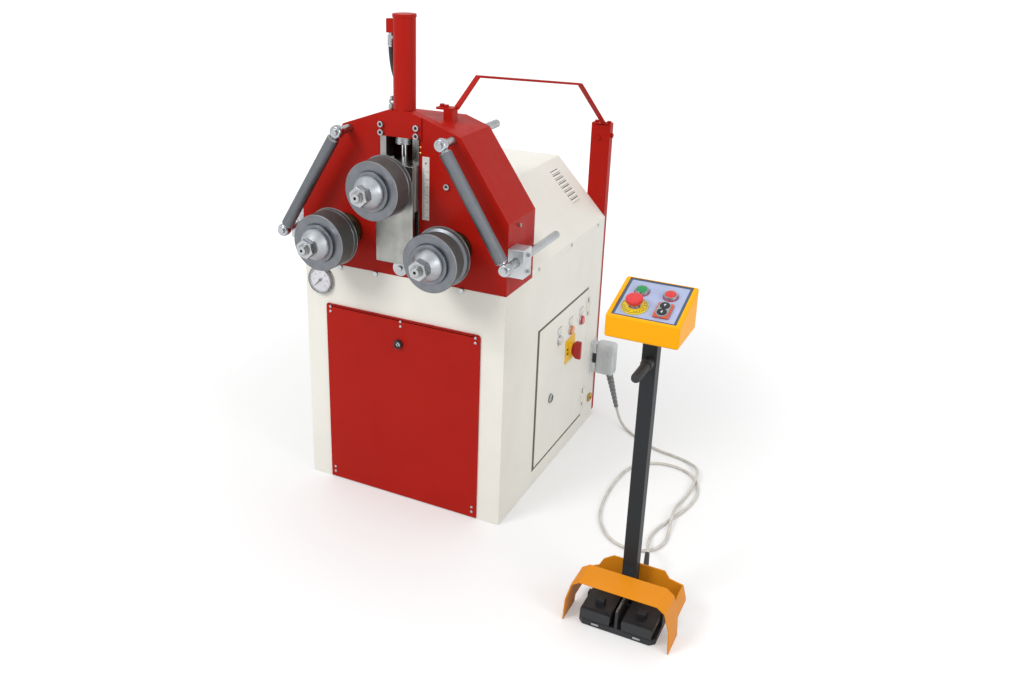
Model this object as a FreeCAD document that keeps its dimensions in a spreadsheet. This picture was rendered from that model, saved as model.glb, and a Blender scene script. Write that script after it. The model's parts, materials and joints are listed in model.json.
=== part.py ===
import FreeCAD, Part
import math
import os
from types import SimpleNamespace

import Sketcher

Vector = FreeCAD.Vector
Rotation = FreeCAD.Rotation

# A three-roll ring roller with its foot pedal console.
# Frame: +X to the operator's right, +Y away from the operator, +Z up, origin on the floor
# under the middle of the cabinet. All sizes are in millimetres.
SIZES = {
    # Cabinet: a sheet shell round a thick base plate, closed by the deck that carries the head
    "cabinet_width": 624,
    "cabinet_depth": 752,
    "cabinet_height": 687,
    "shell_wall": 3,
    "base_thickness": 10,
    "deck_thickness": 10,
    "anchor_spacing_across": 500,
    "anchor_spacing_along": 620,
    "anchor_hole_radius": 7,
    "service_opening_width": 450,
    "service_opening_low": 40,
    "service_opening_drop": 26,
    "door_opening_front": 238,
    "door_opening_back": 645,
    "door_opening_low": 52,
    "door_opening_high": 504,
    # Front panel and its quarter-turn lock
    "panel_width": 487,
    "panel_low": 3,
    "panel_below_gauge": 24.5,
    "panel_thickness": 4,
    "panel_screw_inset": 14,
    "panel_screw_step": 14,
    "panel_screw_low_step": 15,
    "panel_screw_margin": 9,
    "panel_screw_radius": 4,
    "panel_screw_head": 2.5,
    "panel_lock_drop": 76,
    "panel_lock_offset": 5,
    "panel_lock_radius": 12.5,
    "panel_lock_proud": 12,
    "panel_lock_stem_radius": 5,
    "panel_lock_stem_length": 22,
    # Hood behind the head
    "hood_skirt": 20,
    "hood_rise": 200,
    "hood_roof_width": 288,
    "hood_wall": 2.5,
    "hood_screw_radius": 5,
    "hood_screw_head": 3,
    # Head: thick front plate, cased gear space, back plate
    "front_plate_thickness": 25,
    "head_depth": 168,
    "back_plate_thickness": 20,
    "casing_wall": 8,
    "peak_width": 66,
    "peak_rise": 446,
    "ridge_drop": 25,
    "crown_width": 346,
    "crown_rise": 397,
    "shoulder_rise": 194,
    # Slide of the top roll
    "slot_width": 114,
    "slot_foot_rise": 48,
    "slot_top_rise": 379,
    "rail_width": 18,
    "rail_proud": 4,
    "rail_depth": 39,
    "slide_gap": 0.1,
    "carriage_below_axis": 75,
    "carriage_above_axis": 45,
    "carriage_depth": 90,
    "flange_width": 116,
    "flange_thickness": 18.7,
    "flange_gap": 0.3,
    "apron_width": 112,
    "apron_thickness": 10,
    "apron_below_axis": 221,
    # Rolls, shafts and nuts
    "lower_shaft_spacing": 330.8,
    "lower_axis_rise": 108,
    "top_axis_rise": 269,
    "shaft_radius": 25,
    "running_gap": 0.05,
    "roll_radius": 76,
    "roll_width": 70,
    "roll_standoff": 73,
    "rim_radius": 79,
    "rim_thickness": 3,
    "roll_chamfer": 2,
    "groove_depth": 7,
    "groove_flange": 14,
    "collar_radius": 52,
    "collar_thickness": 10,
    "cone_radius": 42.5,
    "cone_tip_radius": 30,
    "cone_straight": 10,
    "cone_taper": 17,
    "nut_flats": 46,
    "nut_thickness": 25,
    "stub_radius": 15,
    "stub_proud": 6,
    "centre_hole_radius": 4,
    "centre_hole_depth": 12,
    "shoulder_radius": 32,
    "bush_wall": 6,
    "bush_flange_radius": 46,
    "bush_flange_thickness": 8,
    "bush_flange_gap": 0.3,
    "shaft_tail": 7,
    # Gears between the lower shafts
    "gear_module": 5,
    "pinion_teeth": 30,
    "drive_teeth": 40,
    "gear_width": 30,
    "gear_setback": 105,
    "tooth_tip_width": 2.4,
    "tooth_root_width": 8.6,
    "tooth_addendum": 4.4,
    "tooth_dedendum": 6,
    "drive_shaft_radius": 20,
    # Hydraulic cylinder
    "cylinder_setback": 25,
    "cylinder_radius": 29,
    "cylinder_bore_radius": 23,
    "cylinder_length": 303,
    "cylinder_cap": 14,
    "cylinder_rim": 1.5,
    "cylinder_rim_height": 8,
    "port_block_width": 19,
    "port_block_height": 34,
    "rod_radius": 10,
    "piston_height": 25,
    "piston_rise": 189,
    "gland_radius": 24,
    "gland_height": 20,
    "bridge_thickness": 5,
    # Hydraulic hose beside the cylinder
    "hose_radius": 7,
    "hose_offset": 48,
    "fitting_radius": 9,
    "fitting_length": 34,
    "elbow_height": 54,
    # Pressure gauge
    "gauge_offset": 258,
    "gauge_drop": 54,
    "gauge_radius": 42.5,
    "gauge_proud": 14,
    "gauge_rim": 6,
    "gauge_recess": 6,
    "needle_length": 28,
    "needle_width": 3,
    "needle_thickness": 1.2,
    "needle_pin_radius": 2,
    # Lateral guides beside the lower rolls
    "guide_standoff": 60,
    "upper_guide_offset": 152,
    "upper_guide_rise": 387,
    "upper_guide_tail": 255,
    "lower_guide_rise": 97,
    "lower_guide_tail": 272,
    "guide_rod_radius": 11,
    "guide_axle_radius": 6,
    "guide_axle_head": 9,
    "guide_axle_head_length": 7,
    "guide_eye_radius": 16,
    "guide_eye_width": 16,
    "guide_eye_gap": 3,
    "upper_eye_gap": 0.9,
    "lower_eye_gap": 2.4,
    "guide_core_radius": 10,
    "guide_roller_radius": 16.5,
    "guide_roller_inset": 18,
    "clamp_width": 44,
    "clamp_depth": 50,
    "clamp_height": 76,
    # Mast and lifting bow
    "mast_width": 61,
    "mast_thickness": 30,
    "mast_offset": 277.5,
    "mast_low": 12,
    "mast_rise": 310,
    "mast_wall": 3,
    "bow_plate": 6,
    "bow_width": 16,
    "bow_pad_left": 68,
    "bow_pad_right": 117,
    "bow_pad_front": 65,
    "bow_pad_back": 95,
    "bow_lug_left": 90,
    "bow_lug_width": 26,
    "bow_foot_rise": 447,
    "bow_high_rise": 519,
    "bow_high_setback": 173,
    "bow_low_rise": 448,
    "bow_low_setback": 615,
    # Side door and what it carries
    "door_gap": 5,
    "door_thickness": 3,
    "door_proud": 1,
    "door_rim": 12,
    "hinge_radius": 5,
    "hinge_pin_radius": 2.5,
    "hinge_standoff": 5,
    "hinge_length": 60,
    "hinge_inset": 60,
    "lock_setback": 351,
    "lock_height": 242,
    "lock_radius": 15,
    "lock_proud": 5,
    "lock_stem_radius": 5,
    "lamp_radius": 16,
    "lamp_proud": 3,
    "lamp_lens_radius": 14,
    "lamp_lens_proud": 5,
    "lamp_height": 414,
    "lamp_first_setback": 400,
    "lamp_step": 91,
    "switch_setback": 494,
    "switch_height": 350,
    "switch_plate_size": 70,
    "switch_plate_thickness": 3,
    "switch_boss_radius": 22,
    "switch_boss_height": 8,
    "switch_handle_radius": 25,
    "switch_handle_height": 9,
    "switch_grip_width": 15,
    "switch_grip_height": 18,
    "switch_stem_radius": 5,
    "earth_setback": 712,
    "earth_height": 85,
    "earth_radius": 8,
    "earth_proud": 12,
    # Cable connector on the side wall
    "socket_setback": 722.5,
    "socket_width": 45,
    "socket_low": 178,
    "socket_high": 292,
    "socket_proud": 18,
    "plug_reach": 62,
    "plug_inset": 4,
    "plug_round": 26,
    "sleeve_radius": 12,
    "sleeve_tip_radius": 7,
    # Console on its post
    "post_offset": 743,
    "post_setback": 165,
    "post_width": 34.5,
    "post_wall": 3,
    "console_width": 163,
    "console_depth": 140,
    "console_front": 265,
    "console_height": 755,
    "console_front_rise": 52,
    "console_back_rise": 96,
    "console_wall": 3,
    "console_rim": 8,
    "console_panel_width": 142,
    "console_panel_length": 138,
    "console_panel_thickness": 3,
    "console_panel_sink": 2,
    "grip_drop": 78,
    "grip_radius": 11,
    "grip_collar_radius": 14,
    "grip_collar_length": 20,
    "grip_reach": 98,
    "button_offset": 32,
    "button_along": 98,
    "button_collar_radius": 17,
    "button_collar_height": 6,
    "button_radius": 12,
    "button_proud": 5,
    "button_gap": 0.4,
    "button_stem": 14,
    "stop_offset": 31,
    "stop_along": 44,
    "stop_disc_radius": 29,
    "stop_disc_height": 4,
    "stop_neck_radius": 10,
    "stop_neck_height": 9,
    "stop_head_radius": 19,
    "stop_head_height": 15,
    "key_along": 45,
    "key_plate_width": 34,
    "key_plate_length": 50,
    "key_plate_height": 6,
    "key_radius": 9.5,
    "key_step": 23,
    "key_proud": 4,
    # Foot pedal
    "guard_sheet": 3,
    "guard_tip_width": 264,
    "guard_knee_width": 257,
    "guard_knee_height": 60,
    "guard_eave_width": 231,
    "guard_eave_height": 108,
    "guard_roof_width": 192,
    "guard_height": 122,
    "guard_front": 283,
    "guard_roof_length": 78,
    "guard_hem_height": 20,
    "guard_flank_height": 50,
    "guard_brow_height": 93,
    "guard_back_foot_width": 200,
    "guard_crest_left": 58,
    "guard_crest_right": 72,
    "guard_back_chamfer": 18,
    "pedal_shift": 5,
    "guard_back_height": 118,
    "guard_back_thickness": 4,
    "pedal_plate_width": 191,
    "pedal_plate_thickness": 16,
    "pedal_plate_front": 275,
    "pedal_plate_back": 139,
    "pedal_divider_width": 8,
    "pedal_divider_height": 66,
    "pedal_width": 75,
    "pedal_gap": 10,
    "pedal_side_gap": 0.5,
    "pedal_front": 281,
    "pedal_hinge_setback": 202,
    "pedal_hinge_height": 36,
    "pedal_pin_radius": 4,
    "pedal_low": 30,
    "pedal_high": 48,
    "pedal_block_height": 14,
    "pedal_block_length": 18,
    "pedal_block_width": 22,
    "pedal_block_inset": 33,
    "pedal_plate_corner": 12,
    "cord_gland_height": 60,
    "cord_gland_offset": 28,
    "cord_gland_radius": 8.5,
    "cord_gland_tip_radius": 6,
    "cord_gland_standoff": 2.2,
    # Grey control cord
    "cord_diameter": 9,
    # Drive, hydraulics and electrics inside the cabinet
    "gearbox_width": 160,
    "gearbox_length": 150,
    "gearbox_height": 103,
    "gearbox_front": 180,
    "motor_radius": 70,
    "motor_length": 230,
    "tank_width": 350,
    "tank_depth": 300,
    "tank_height": 250,
    "tank_left": 250,
    "tank_front": 150,
    "pump_motor_radius": 65,
    "pump_motor_height": 200,
    "valve_width": 90,
    "valve_depth": 70,
    "valve_height": 60,
    "switchgear_inset": 112,
    "switchgear_thickness": 3,
    "switchgear_low": 80,
    "switchgear_high": 480,
    "contactor_depth": 70,
    "contactor_width": 55,
    "contactor_height": 85,
    "contactor_count": 4,
    # Bolts shared by the frame
    "bolt_flats": 13,
    "bolt_head": 6,
    "washer_radius": 22,
    "washer_thickness": 4,
    "cap_screw_radius": 5,
    "cap_screw_head": 6,
    "face_screw_radius": 8,
    "face_screw_head": 8,
    "bridge_overlap": 7,
    "deck_bolt_left": 193,
    "deck_bolt_middle": 78,
    "deck_bolt_right": 185,
    "bridge_screw_offset": 52,
    "bridge_screw_high": 37,
    "bridge_screw_low": 58,
    "clamp_screw_low": 26,
    "clamp_screw_high": 18,
    "side_screw_setback": 64,
    "side_screw_rise": 80,
    "face_screw_offset": 137,
    "face_screw_rise": 267,
    "bow_bolt_inset": 9,
    "bow_bolt_step": 16,
    "bow_bolt_back": 18,
    "bow_bolt_front": 11,
    "mast_bolt_drop": 40,
    "mast_side_bolt_drop": 32,
}

# Route of the control cord from the plug's sleeve to the pedal's gland, along the floor
CORD_ROUTE = [
    (408, 349, 65),
    (420, 348, 28),
    (447, 331, 4.6),
    (508, 284, 4.6),
    (578, 242, 4.6),
    (648, 230, 4.6),
    (702, 212, 4.6),
    (737, 167, 15),
    (745, 104, 15),
    (742, 39, 4.6),
    (734, -18, 4.6),
    (731, -71, 15),
    (738, -141, 15),
    (746, -186, 4.6),
    (751, -231, 4.6),
    (740, -276, 4.6),
    (712, -304, 4.6),
    (660, -314, 4.6),
    (618, -298, 4.6),
    (585, -268, 4.6),
    (553, -214, 4.6),
    (537, -152, 4.6),
    (530, -91, 4.6),
    (528, -31, 4.6),
    (531, 34, 4.6),
    (541, 92, 4.6),
    (568, 136, 4.6),
    (612, 165, 4.6),
    (662, 170, 4.6),
    (702, 158, 4.6),
    (735, 131, 4.6),
    (758, 87, 4.6),
    (768, 36, 4.6),
    (763, -21, 4.6),
    (749, -79, 4.6),
    (729, -131, 4.6),
    (713, -181, 4.6),
    (706, -226, 4.6),
    (712, -271, 8),
    (722, -314, 30),
    (733, -351, 54),
    (741, -385, 60),
]

doc = FreeCAD.newDocument("RingRoller")
nodes = []


# ---------------------------------------------------------------- sheet and tied sizes
class Size:
    """A length with its value now and the sheet expression that works it out again."""

    def __init__(self, value, text):
        self.value = value
        self.text = text

    def __add__(self, other):
        other = as_size(other)
        return Size(self.value + other.value, f"({self.text} + {other.text})")

    def __radd__(self, other):
        return as_size(other) + self

    def __sub__(self, other):
        other = as_size(other)
        return Size(self.value - other.value, f"({self.text} - {other.text})")

    def __rsub__(self, other):
        return as_size(other) - self

    def __mul__(self, other):
        other = as_size(other)
        return Size(self.value * other.value, f"({self.text} * {other.text})")

    def __rmul__(self, other):
        return as_size(other) * self

    def __truediv__(self, other):
        other = as_size(other)
        return Size(self.value / other.value, f"({self.text} / {other.text})")

    def __neg__(self):
        return Size(-self.value, f"(0 - {self.text})")


def as_size(number):
    """Take a plain number as a size too."""
    if isinstance(number, Size):
        return number
    return Size(float(number), repr(float(number)))


def root_of(size):
    """Square root of a size."""
    return Size(math.sqrt(size.value), f"sqrt({size.text})")


def make_sheet():
    """Write the driving dimensions to the sheet and give each one as a tied size."""
    sheet = doc.addObject("Spreadsheet::Sheet", "Sizes")
    for row, (name, value) in enumerate(SIZES.items(), 1):
        sheet.set(f"A{row}", name)
        sheet.set(f"B{row}", str(value))
        sheet.setAlias(f"B{row}", name)
    doc.recompute()
    return SimpleNamespace(**{name: Size(float(v), f"Sizes.{name}") for name, v in SIZES.items()})


dim = make_sheet()


# ---------------------------------------------------------------- shared building blocks
TURNS = {
    "+x": Rotation(Vector(0, 1, 0), 90),
    "-x": Rotation(Vector(0, 1, 0), -90),
    "+y": Rotation(Vector(1, 0, 0), -90),
    "-y": Rotation(Vector(1, 0, 0), 90),
    "+z": Rotation(Vector(0, 0, 1), 0),
    "-z": Rotation(Vector(1, 0, 0), 180),
}


def bind(item, prop, size):
    """Tie one property of a document object to the sheet."""
    item.setExpression(prop, as_size(size).text)


def seat(item, at, turn=TURNS["+z"]):
    """Place an object at three tied coordinates, turned."""
    item.Placement = FreeCAD.Placement(Vector(), turn)
    for letter, size in zip("xyz", at):
        bind(item, f"Placement.Base.{letter}", size)
    return item


def tilt(item, at, axis, run, rise):
    """Place an object turned about an axis by the angle whose tangent is run over rise."""
    angle = math.degrees(math.atan2(run.value, rise.value))
    seat(item, at, Rotation(axis, angle))
    item.setExpression("Placement.Rotation.Angle", f"atan2({run.text}; {rise.text})")
    return item


def both(width):
    """Low and high edge of a width that lies evenly about the middle."""
    return -width / 2, width / 2


def span(centre, width):
    """Low and high edge of a width about a centre."""
    return centre - width / 2, centre + width / 2


def box(name, x, y, z):
    """Block between the low and high edges on each axis."""
    block = doc.addObject("Part::Box", name)
    for side, (low, high) in zip(("Length", "Width", "Height"), (x, y, z)):
        bind(block, side, as_size(high) - low)
    return seat(block, (x[0], y[0], z[0]))


def cylinder(name, radius, length, at, along="+z"):
    """Round bar from a point along an axis."""
    bar = doc.addObject("Part::Cylinder", name)
    bind(bar, "Radius", radius)
    bind(bar, "Height", length)
    return seat(bar, at, TURNS[along])


def hexagon(name, flats, length, at, along="+z"):
    """Hexagonal bar of a width over its flats, from a point along an axis."""
    bar = doc.addObject("Part::Prism", name)
    bar.Polygon = 6
    bind(bar, "Circumradius", flats / math.sqrt(3))
    bind(bar, "Height", length)
    return seat(bar, at, TURNS[along])


def ring(name, radius, bore, length, at, along="+z"):
    """Round bar with a bore right through it."""
    outer = cylinder(name + "Outer", radius, length, at, along)
    inner = cylinder(name + "Bore", bore, length, at, along)
    return cut(outer, inner)


def fuse(*solids):
    """One solid from several that meet."""
    joined = doc.addObject("Part::MultiFuse", solids[0].Name + "Joined")
    joined.Shapes = list(solids)
    joined.Refine = True
    return joined


def group(*solids):
    """Separate solids that share one node."""
    bundle = doc.addObject("Part::Compound", solids[0].Name + "Group")
    bundle.Links = list(solids)
    return bundle


def cut(solid, *tools):
    """A solid with the tools taken out of it."""
    result = doc.addObject("Part::Cut", solid.Name + "Cut")
    result.Base = solid
    result.Tool = tools[0] if len(tools) == 1 else group(*tools)
    return result


def outline_sketch(body, plane, outline):
    """Closed sketch through tied points on one of a body's own planes."""
    sketch = body.newObject("Sketcher::SketchObject", body.Name + "Outline")
    origin = next(f for f in body.Origin.OriginFeatures if f.Role == plane)
    sketch.AttachmentSupport = [(origin, "")]
    sketch.MapMode = "FlatFace"
    points = [(as_size(a), as_size(b)) for a, b in outline]
    corners = [Vector(a.value, b.value, 0) for a, b in points]
    count = len(corners)
    for i in range(count):
        sketch.addGeometry(Part.LineSegment(corners[i], corners[(i + 1) % count]), False)
    for i in range(count):
        sketch.addConstraint(Sketcher.Constraint("Coincident", i, 2, (i + 1) % count, 1))
    for i, (across, up) in enumerate(points):
        for kind, size in (("DistanceX", across), ("DistanceY", up)):
            rule = sketch.addConstraint(Sketcher.Constraint(kind, -1, 1, i, 1, size.value))
            sketch.setExpression(f"Constraints[{rule}]", size.text)
    return sketch


def prism(name, plane, outline, low, high):
    """Outline on the XY, XZ or YZ plane, drawn out between two places on the third axis."""
    body = doc.addObject("PartDesign::Body", name)
    sketch = outline_sketch(body, plane + "_Plane", outline)
    pad = body.newObject("PartDesign::Pad", name + "Pad")
    pad.Profile = sketch
    pad.Reversed = plane == "XZ"
    bind(pad, "Length", as_size(high) - low)
    at = {"XY": (0, 0, low), "XZ": (0, low, 0), "YZ": (low, 0, 0)}[plane]
    return seat(body, at)


def turned(name, outline, at, along="+z"):
    """Outline of (radius, height) points spun about an axis through a point."""
    body = doc.addObject("PartDesign::Body", name)
    sketch = outline_sketch(body, "XZ_Plane", outline)
    spin = body.newObject("PartDesign::Revolution", name + "Spin")
    spin.Profile = sketch
    spin.ReferenceAxis = (sketch, ["V_Axis"])
    spin.Angle = 360
    return seat(body, at, TURNS[along])


def node(name, item):
    """Name a finished sub-part."""
    item.Label = name
    nodes.append(item)
    return item


# ---------------------------------------------------------------- places shared by the parts
half_width = dim.cabinet_width / 2
front = -dim.cabinet_depth / 2
back = dim.cabinet_depth / 2
deck = dim.cabinet_height

plate_back = front + dim.front_plate_thickness
head_back = front + dim.head_depth
casing_back = head_back - dim.back_plate_thickness

lower_shaft_x = dim.lower_shaft_spacing / 2
lower_shaft_z = deck + dim.lower_axis_rise
top_shaft_z = deck + dim.top_axis_rise
roll_back = front - dim.roll_standoff
roll_front = roll_back - dim.roll_width
collar_front = roll_front - dim.collar_thickness
cone_length = dim.cone_straight + dim.cone_taper
cone_front = collar_front - cone_length
nut_front = cone_front - dim.nut_thickness
bearing_bore = dim.shaft_radius + dim.running_gap
bush_radius = bearing_bore + dim.bush_wall

pinion_pitch = dim.gear_module * dim.pinion_teeth / 2
drive_pitch = dim.gear_module * dim.drive_teeth / 2
gear_centres = pinion_pitch + drive_pitch
gear_drop = root_of(gear_centres * gear_centres - lower_shaft_x * lower_shaft_x)
drive_z = lower_shaft_z - gear_drop
gear_front = front + dim.gear_setback

slot_foot = deck + dim.slot_foot_rise
slot_top = deck + dim.slot_top_rise
peak_z = deck + dim.peak_rise
ridge_z = peak_z - dim.ridge_drop
rail_front = front - dim.rail_proud
carriage_low = top_shaft_z - dim.carriage_below_axis
carriage_high = top_shaft_z + dim.carriage_above_axis
flange_back = rail_front - dim.flange_gap
flange_front = flange_back - dim.flange_thickness
apron_front = flange_front - dim.apron_thickness

cylinder_y = front + dim.cylinder_setback
cylinder_high = slot_top + dim.cylinder_length
gauge_z = deck - dim.gauge_drop

panel_high = gauge_z - dim.gauge_radius - dim.panel_below_gauge
panel_lock_z = panel_high - dim.panel_lock_drop

guide_y = front - dim.guide_standoff
upper_guide_z = deck + dim.upper_guide_rise
lower_guide_x = half_width + dim.clamp_width / 2
lower_guide_z = deck + dim.lower_guide_rise
guide_across = lower_guide_x - dim.upper_guide_offset
guide_down = upper_guide_z - lower_guide_z
guide_length = root_of(guide_across * guide_across + guide_down * guide_down)

mast_back = back + dim.mast_thickness
mast_high = deck + dim.mast_rise

post_x = dim.post_offset
pedal_x = post_x + dim.pedal_shift
post_y = front - dim.post_setback
console_front = front - dim.console_front
console_slope = root_of(
    dim.console_depth * dim.console_depth
    + (dim.console_back_rise - dim.console_front_rise)
    * (dim.console_back_rise - dim.console_front_rise)
)
pedal_floor = dim.pedal_plate_thickness


# ---------------------------------------------------------------- cabinet
def cabinet():
    """Base plate with its anchor holes, the sheet shell with the deck, and the front panel."""
    inner_x = half_width - dim.shell_wall
    inner_y = back - dim.shell_wall
    base = box("BasePlate", (-inner_x, inner_x), (-inner_y, inner_y), (0, dim.base_thickness))
    anchors = [
        cylinder(
            "AnchorHole",
            dim.anchor_hole_radius,
            dim.base_thickness,
            (dim.anchor_spacing_across / 2 * side, dim.anchor_spacing_along / 2 * end, 0),
        )
        for side in (-1, 1)
        for end in (-1, 1)
    ]
    node("base_plate", cut(base, *anchors))

    shell = box("Shell", (-half_width, half_width), (front, back), (0, deck))
    inside = box(
        "ShellInside", (-inner_x, inner_x), (-inner_y, inner_y), (0, deck - dim.deck_thickness)
    )
    service = box(
        "ServiceOpening",
        both(dim.service_opening_width),
        (front, front + dim.shell_wall),
        (dim.service_opening_low, panel_high - dim.service_opening_drop),
    )
    door = box(
        "DoorOpening",
        (half_width - dim.shell_wall, half_width),
        (front + dim.door_opening_front, front + dim.door_opening_back),
        (dim.door_opening_low, dim.door_opening_high),
    )
    gear_reach = drive_pitch + dim.gear_module + dim.gear_module
    gear_well = box(
        "GearWell",
        (-gear_reach, gear_reach),
        (gear_front - dim.gear_module, gear_front + dim.gear_width + dim.gear_module),
        (deck - dim.deck_thickness, deck),
    )
    lock_hole = cylinder(
        "LockHole",
        dim.panel_lock_stem_radius + dim.running_gap,
        dim.panel_thickness + dim.shell_wall,
        (-dim.panel_lock_offset, front + dim.shell_wall, panel_lock_z),
        "-y",
    )
    node("cabinet_shell", cut(shell, inside, service, door, gear_well, *panel_screw_holes()))

    panel = box(
        "FrontPanel",
        both(dim.panel_width),
        (front - dim.panel_thickness, front),
        (dim.panel_low, panel_high),
    )
    node("front_panel", cut(panel, lock_hole, *panel_screw_holes()))

    knob = dim.panel_lock_radius
    knob_back = dim.running_gap
    stem_start = -dim.panel_lock_stem_length + dim.panel_lock_proud
    lock = turned(
        "PanelLock",
        [
            (0, stem_start),
            (dim.panel_lock_stem_radius, stem_start),
            (dim.panel_lock_stem_radius, knob_back),
            (knob, knob_back),
            (knob, dim.panel_lock_proud - 2),
            (knob - 2, dim.panel_lock_proud),
            (0, dim.panel_lock_proud),
        ],
        (-dim.panel_lock_offset, front - dim.panel_thickness, panel_lock_z),
        "-y",
    )
    node("panel_lock", lock)


def panel_screw_places():
    """Centres (x, z) of the paired screws down the edges of the front panel."""
    edge = dim.panel_width / 2 - dim.panel_screw_inset
    top = panel_high - dim.panel_screw_margin
    foot = dim.panel_low + dim.panel_screw_margin * 2
    places = []
    for x in (-edge, as_size(0), edge):
        places += [(x, top), (x, top - dim.panel_screw_step)]
    for x in (-edge, edge):
        places += [(x, foot), (x, foot + dim.panel_screw_low_step)]
    return places


def panel_screw_holes():
    """Clearance holes of the front panel's screws through the panel and the shell."""
    return [
        cylinder(
            "PanelScrewHole",
            dim.panel_screw_radius / 2 + dim.running_gap,
            dim.panel_thickness + dim.shell_wall,
            (x, front + dim.shell_wall, z),
            "-y",
        )
        for x, z in panel_screw_places()
    ]


def screw(name, radius, head, shank, at, along):
    """Domed sheet screw: the head sits at the point, the shank runs the other way."""
    return turned(
        name,
        [
            (0, -shank),
            (radius / 2, -shank),
            (radius / 2, 0),
            (radius, 0),
            (radius, head / 2),
            (radius * 0.6, head),
            (0, head),
        ],
        at,
        along,
    )


def cover_screws():
    """Sheet screws of the front panel, of the hood's skirt and of the head's sides."""
    screws = [
        screw(
            "PanelScrew",
            dim.panel_screw_radius,
            dim.panel_screw_head,
            dim.panel_thickness,
            (x, front - dim.panel_thickness, z),
            "-y",
        )
        for x, z in panel_screw_places()
    ]
    for side, along in ((-1, "-x"), (1, "+x")):
        for setback in HOOD_SCREW_SHARES:
            screws.append(
                screw(
                    "HoodScrew",
                    dim.hood_screw_radius,
                    dim.hood_screw_head,
                    dim.hood_wall,
                    (half_width * side, hood_screw_y(setback), deck + dim.hood_skirt / 2),
                    along,
                )
            )
    node("cover_screws", group(*screws))


# The hood's skirt screws stand at these shares of its length
HOOD_SCREW_SHARES = (0.08, 0.5, 0.89)


def hood_screw_y(share):
    """Place along Y of one screw in the hood's skirt."""
    return head_back + (back - head_back) * share


# ---------------------------------------------------------------- hood
def hood_outline(inset):
    """Skirt, sloping sides and flat roof of the hood, drawn in by its wall."""
    side = half_width - inset
    roof = dim.hood_roof_width / 2 - inset / 2
    skirt = deck + dim.hood_skirt
    top = deck + dim.hood_rise - inset
    return [(-side, deck), (side, deck), (side, skirt), (roof, top), (-roof, top), (-side, skirt)]


def hood():
    """Sheet hood over the drive, open to the head and to the deck, closed at the back."""
    outer = prism("Hood", "XZ", hood_outline(as_size(0)), head_back, back)
    inner = prism("HoodInside", "XZ", hood_outline(dim.hood_wall), head_back, back - dim.hood_wall)
    holes = []
    for side, along in ((-1, "-x"), (1, "+x")):
        for share in HOOD_SCREW_SHARES:
            holes.append(
                cylinder(
                    "HoodScrewHole",
                    dim.hood_screw_radius / 2 + dim.running_gap,
                    dim.hood_wall,
                    (
                        (half_width - dim.hood_wall) * side,
                        hood_screw_y(share),
                        deck + dim.hood_skirt / 2,
                    ),
                    along,
                )
            )
    node("hood", cut(outer, inner, *holes))


# ---------------------------------------------------------------- head
def head_outline(inset, foot, peak, top):
    """House shape of the head, drawn in by a wall, from a foot height to its flat top."""
    side = half_width - inset
    crown = dim.crown_width / 2 - inset * 0.6
    shoulder_z = deck + dim.shoulder_rise - inset * 0.4
    crown_z = deck + dim.crown_rise - inset
    top_z = top - inset
    return [
        (-side, foot),
        (side, foot),
        (side, shoulder_z),
        (crown, crown_z),
        (peak, top_z),
        (-peak, top_z),
        (-crown, crown_z),
        (-side, shoulder_z),
    ]


def head():
    """Front plate with the slide slot, and the lower casing with the back plate and bow lug."""
    peak = dim.peak_width / 2
    outline = head_outline(as_size(0), deck, peak, peak_z)
    plate = prism("FrontPlate", "XZ", outline, front, plate_back)
    slot = box("SlideSlot", both(dim.slot_width), (front, plate_back), (slot_foot, slot_top))
    notch_half = dim.cylinder_radius + 1
    notch = box(
        "CylinderNotch", (-notch_half, notch_half), (front, plate_back), (slot_top, peak_z)
    )
    plate_bores = [
        cylinder("BushBore", bush_radius, dim.front_plate_thickness, (x, plate_back, z), "-y")
        for x, z in ((-lower_shaft_x, lower_shaft_z), (lower_shaft_x, lower_shaft_z))
    ]
    rod_bores = [
        cylinder(
            "GuideRodBore",
            dim.guide_rod_radius,
            dim.head_depth,
            (dim.upper_guide_offset * side, head_back, upper_guide_z),
            "-y",
        )
        for side in (-1, 1)
    ]
    node("head_front_plate", cut(plate, slot, notch, *plate_bores, *rod_bores))

    slope = (dim.crown_width / 2 - peak) / (dim.peak_rise - dim.crown_rise)
    ridge = peak + slope * dim.ridge_drop
    outline = head_outline(as_size(0), deck, ridge, ridge_z)
    hollow = head_outline(dim.casing_wall, deck, ridge - dim.casing_wall * 0.6, ridge_z)
    outer = prism("Casing", "XZ", outline, plate_back, head_back)
    inner = prism("CasingInside", "XZ", hollow, plate_back, casing_back)
    lug = box(
        "BowLug",
        span(dim.bow_lug_left + dim.bow_lug_width / 2, dim.bow_lug_width),
        (front + dim.bow_pad_front, front + dim.bow_pad_back),
        (deck + dim.crown_rise + dim.casing_wall, deck + dim.bow_foot_rise),
    )
    back_bores = [
        cylinder("BackBushBore", bush_radius, dim.back_plate_thickness, (x, head_back, z), "-y")
        for x, z in ((-lower_shaft_x, lower_shaft_z), (lower_shaft_x, lower_shaft_z))
    ]
    drive_bore = cylinder(
        "DriveBore",
        dim.drive_shaft_radius + dim.bush_wall,
        dim.back_plate_thickness,
        (0, head_back, drive_z),
        "-y",
    )
    cylinder_hole = cylinder(
        "CylinderHole", dim.cylinder_radius + 1, dim.head_depth, (0, cylinder_y, carriage_high)
    )
    node(
        "head_casing",
        cut(
            fuse(cut(outer, inner), lug), *back_bores, drive_bore, cylinder_hole, *rod_bores
        ),
    )


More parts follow.
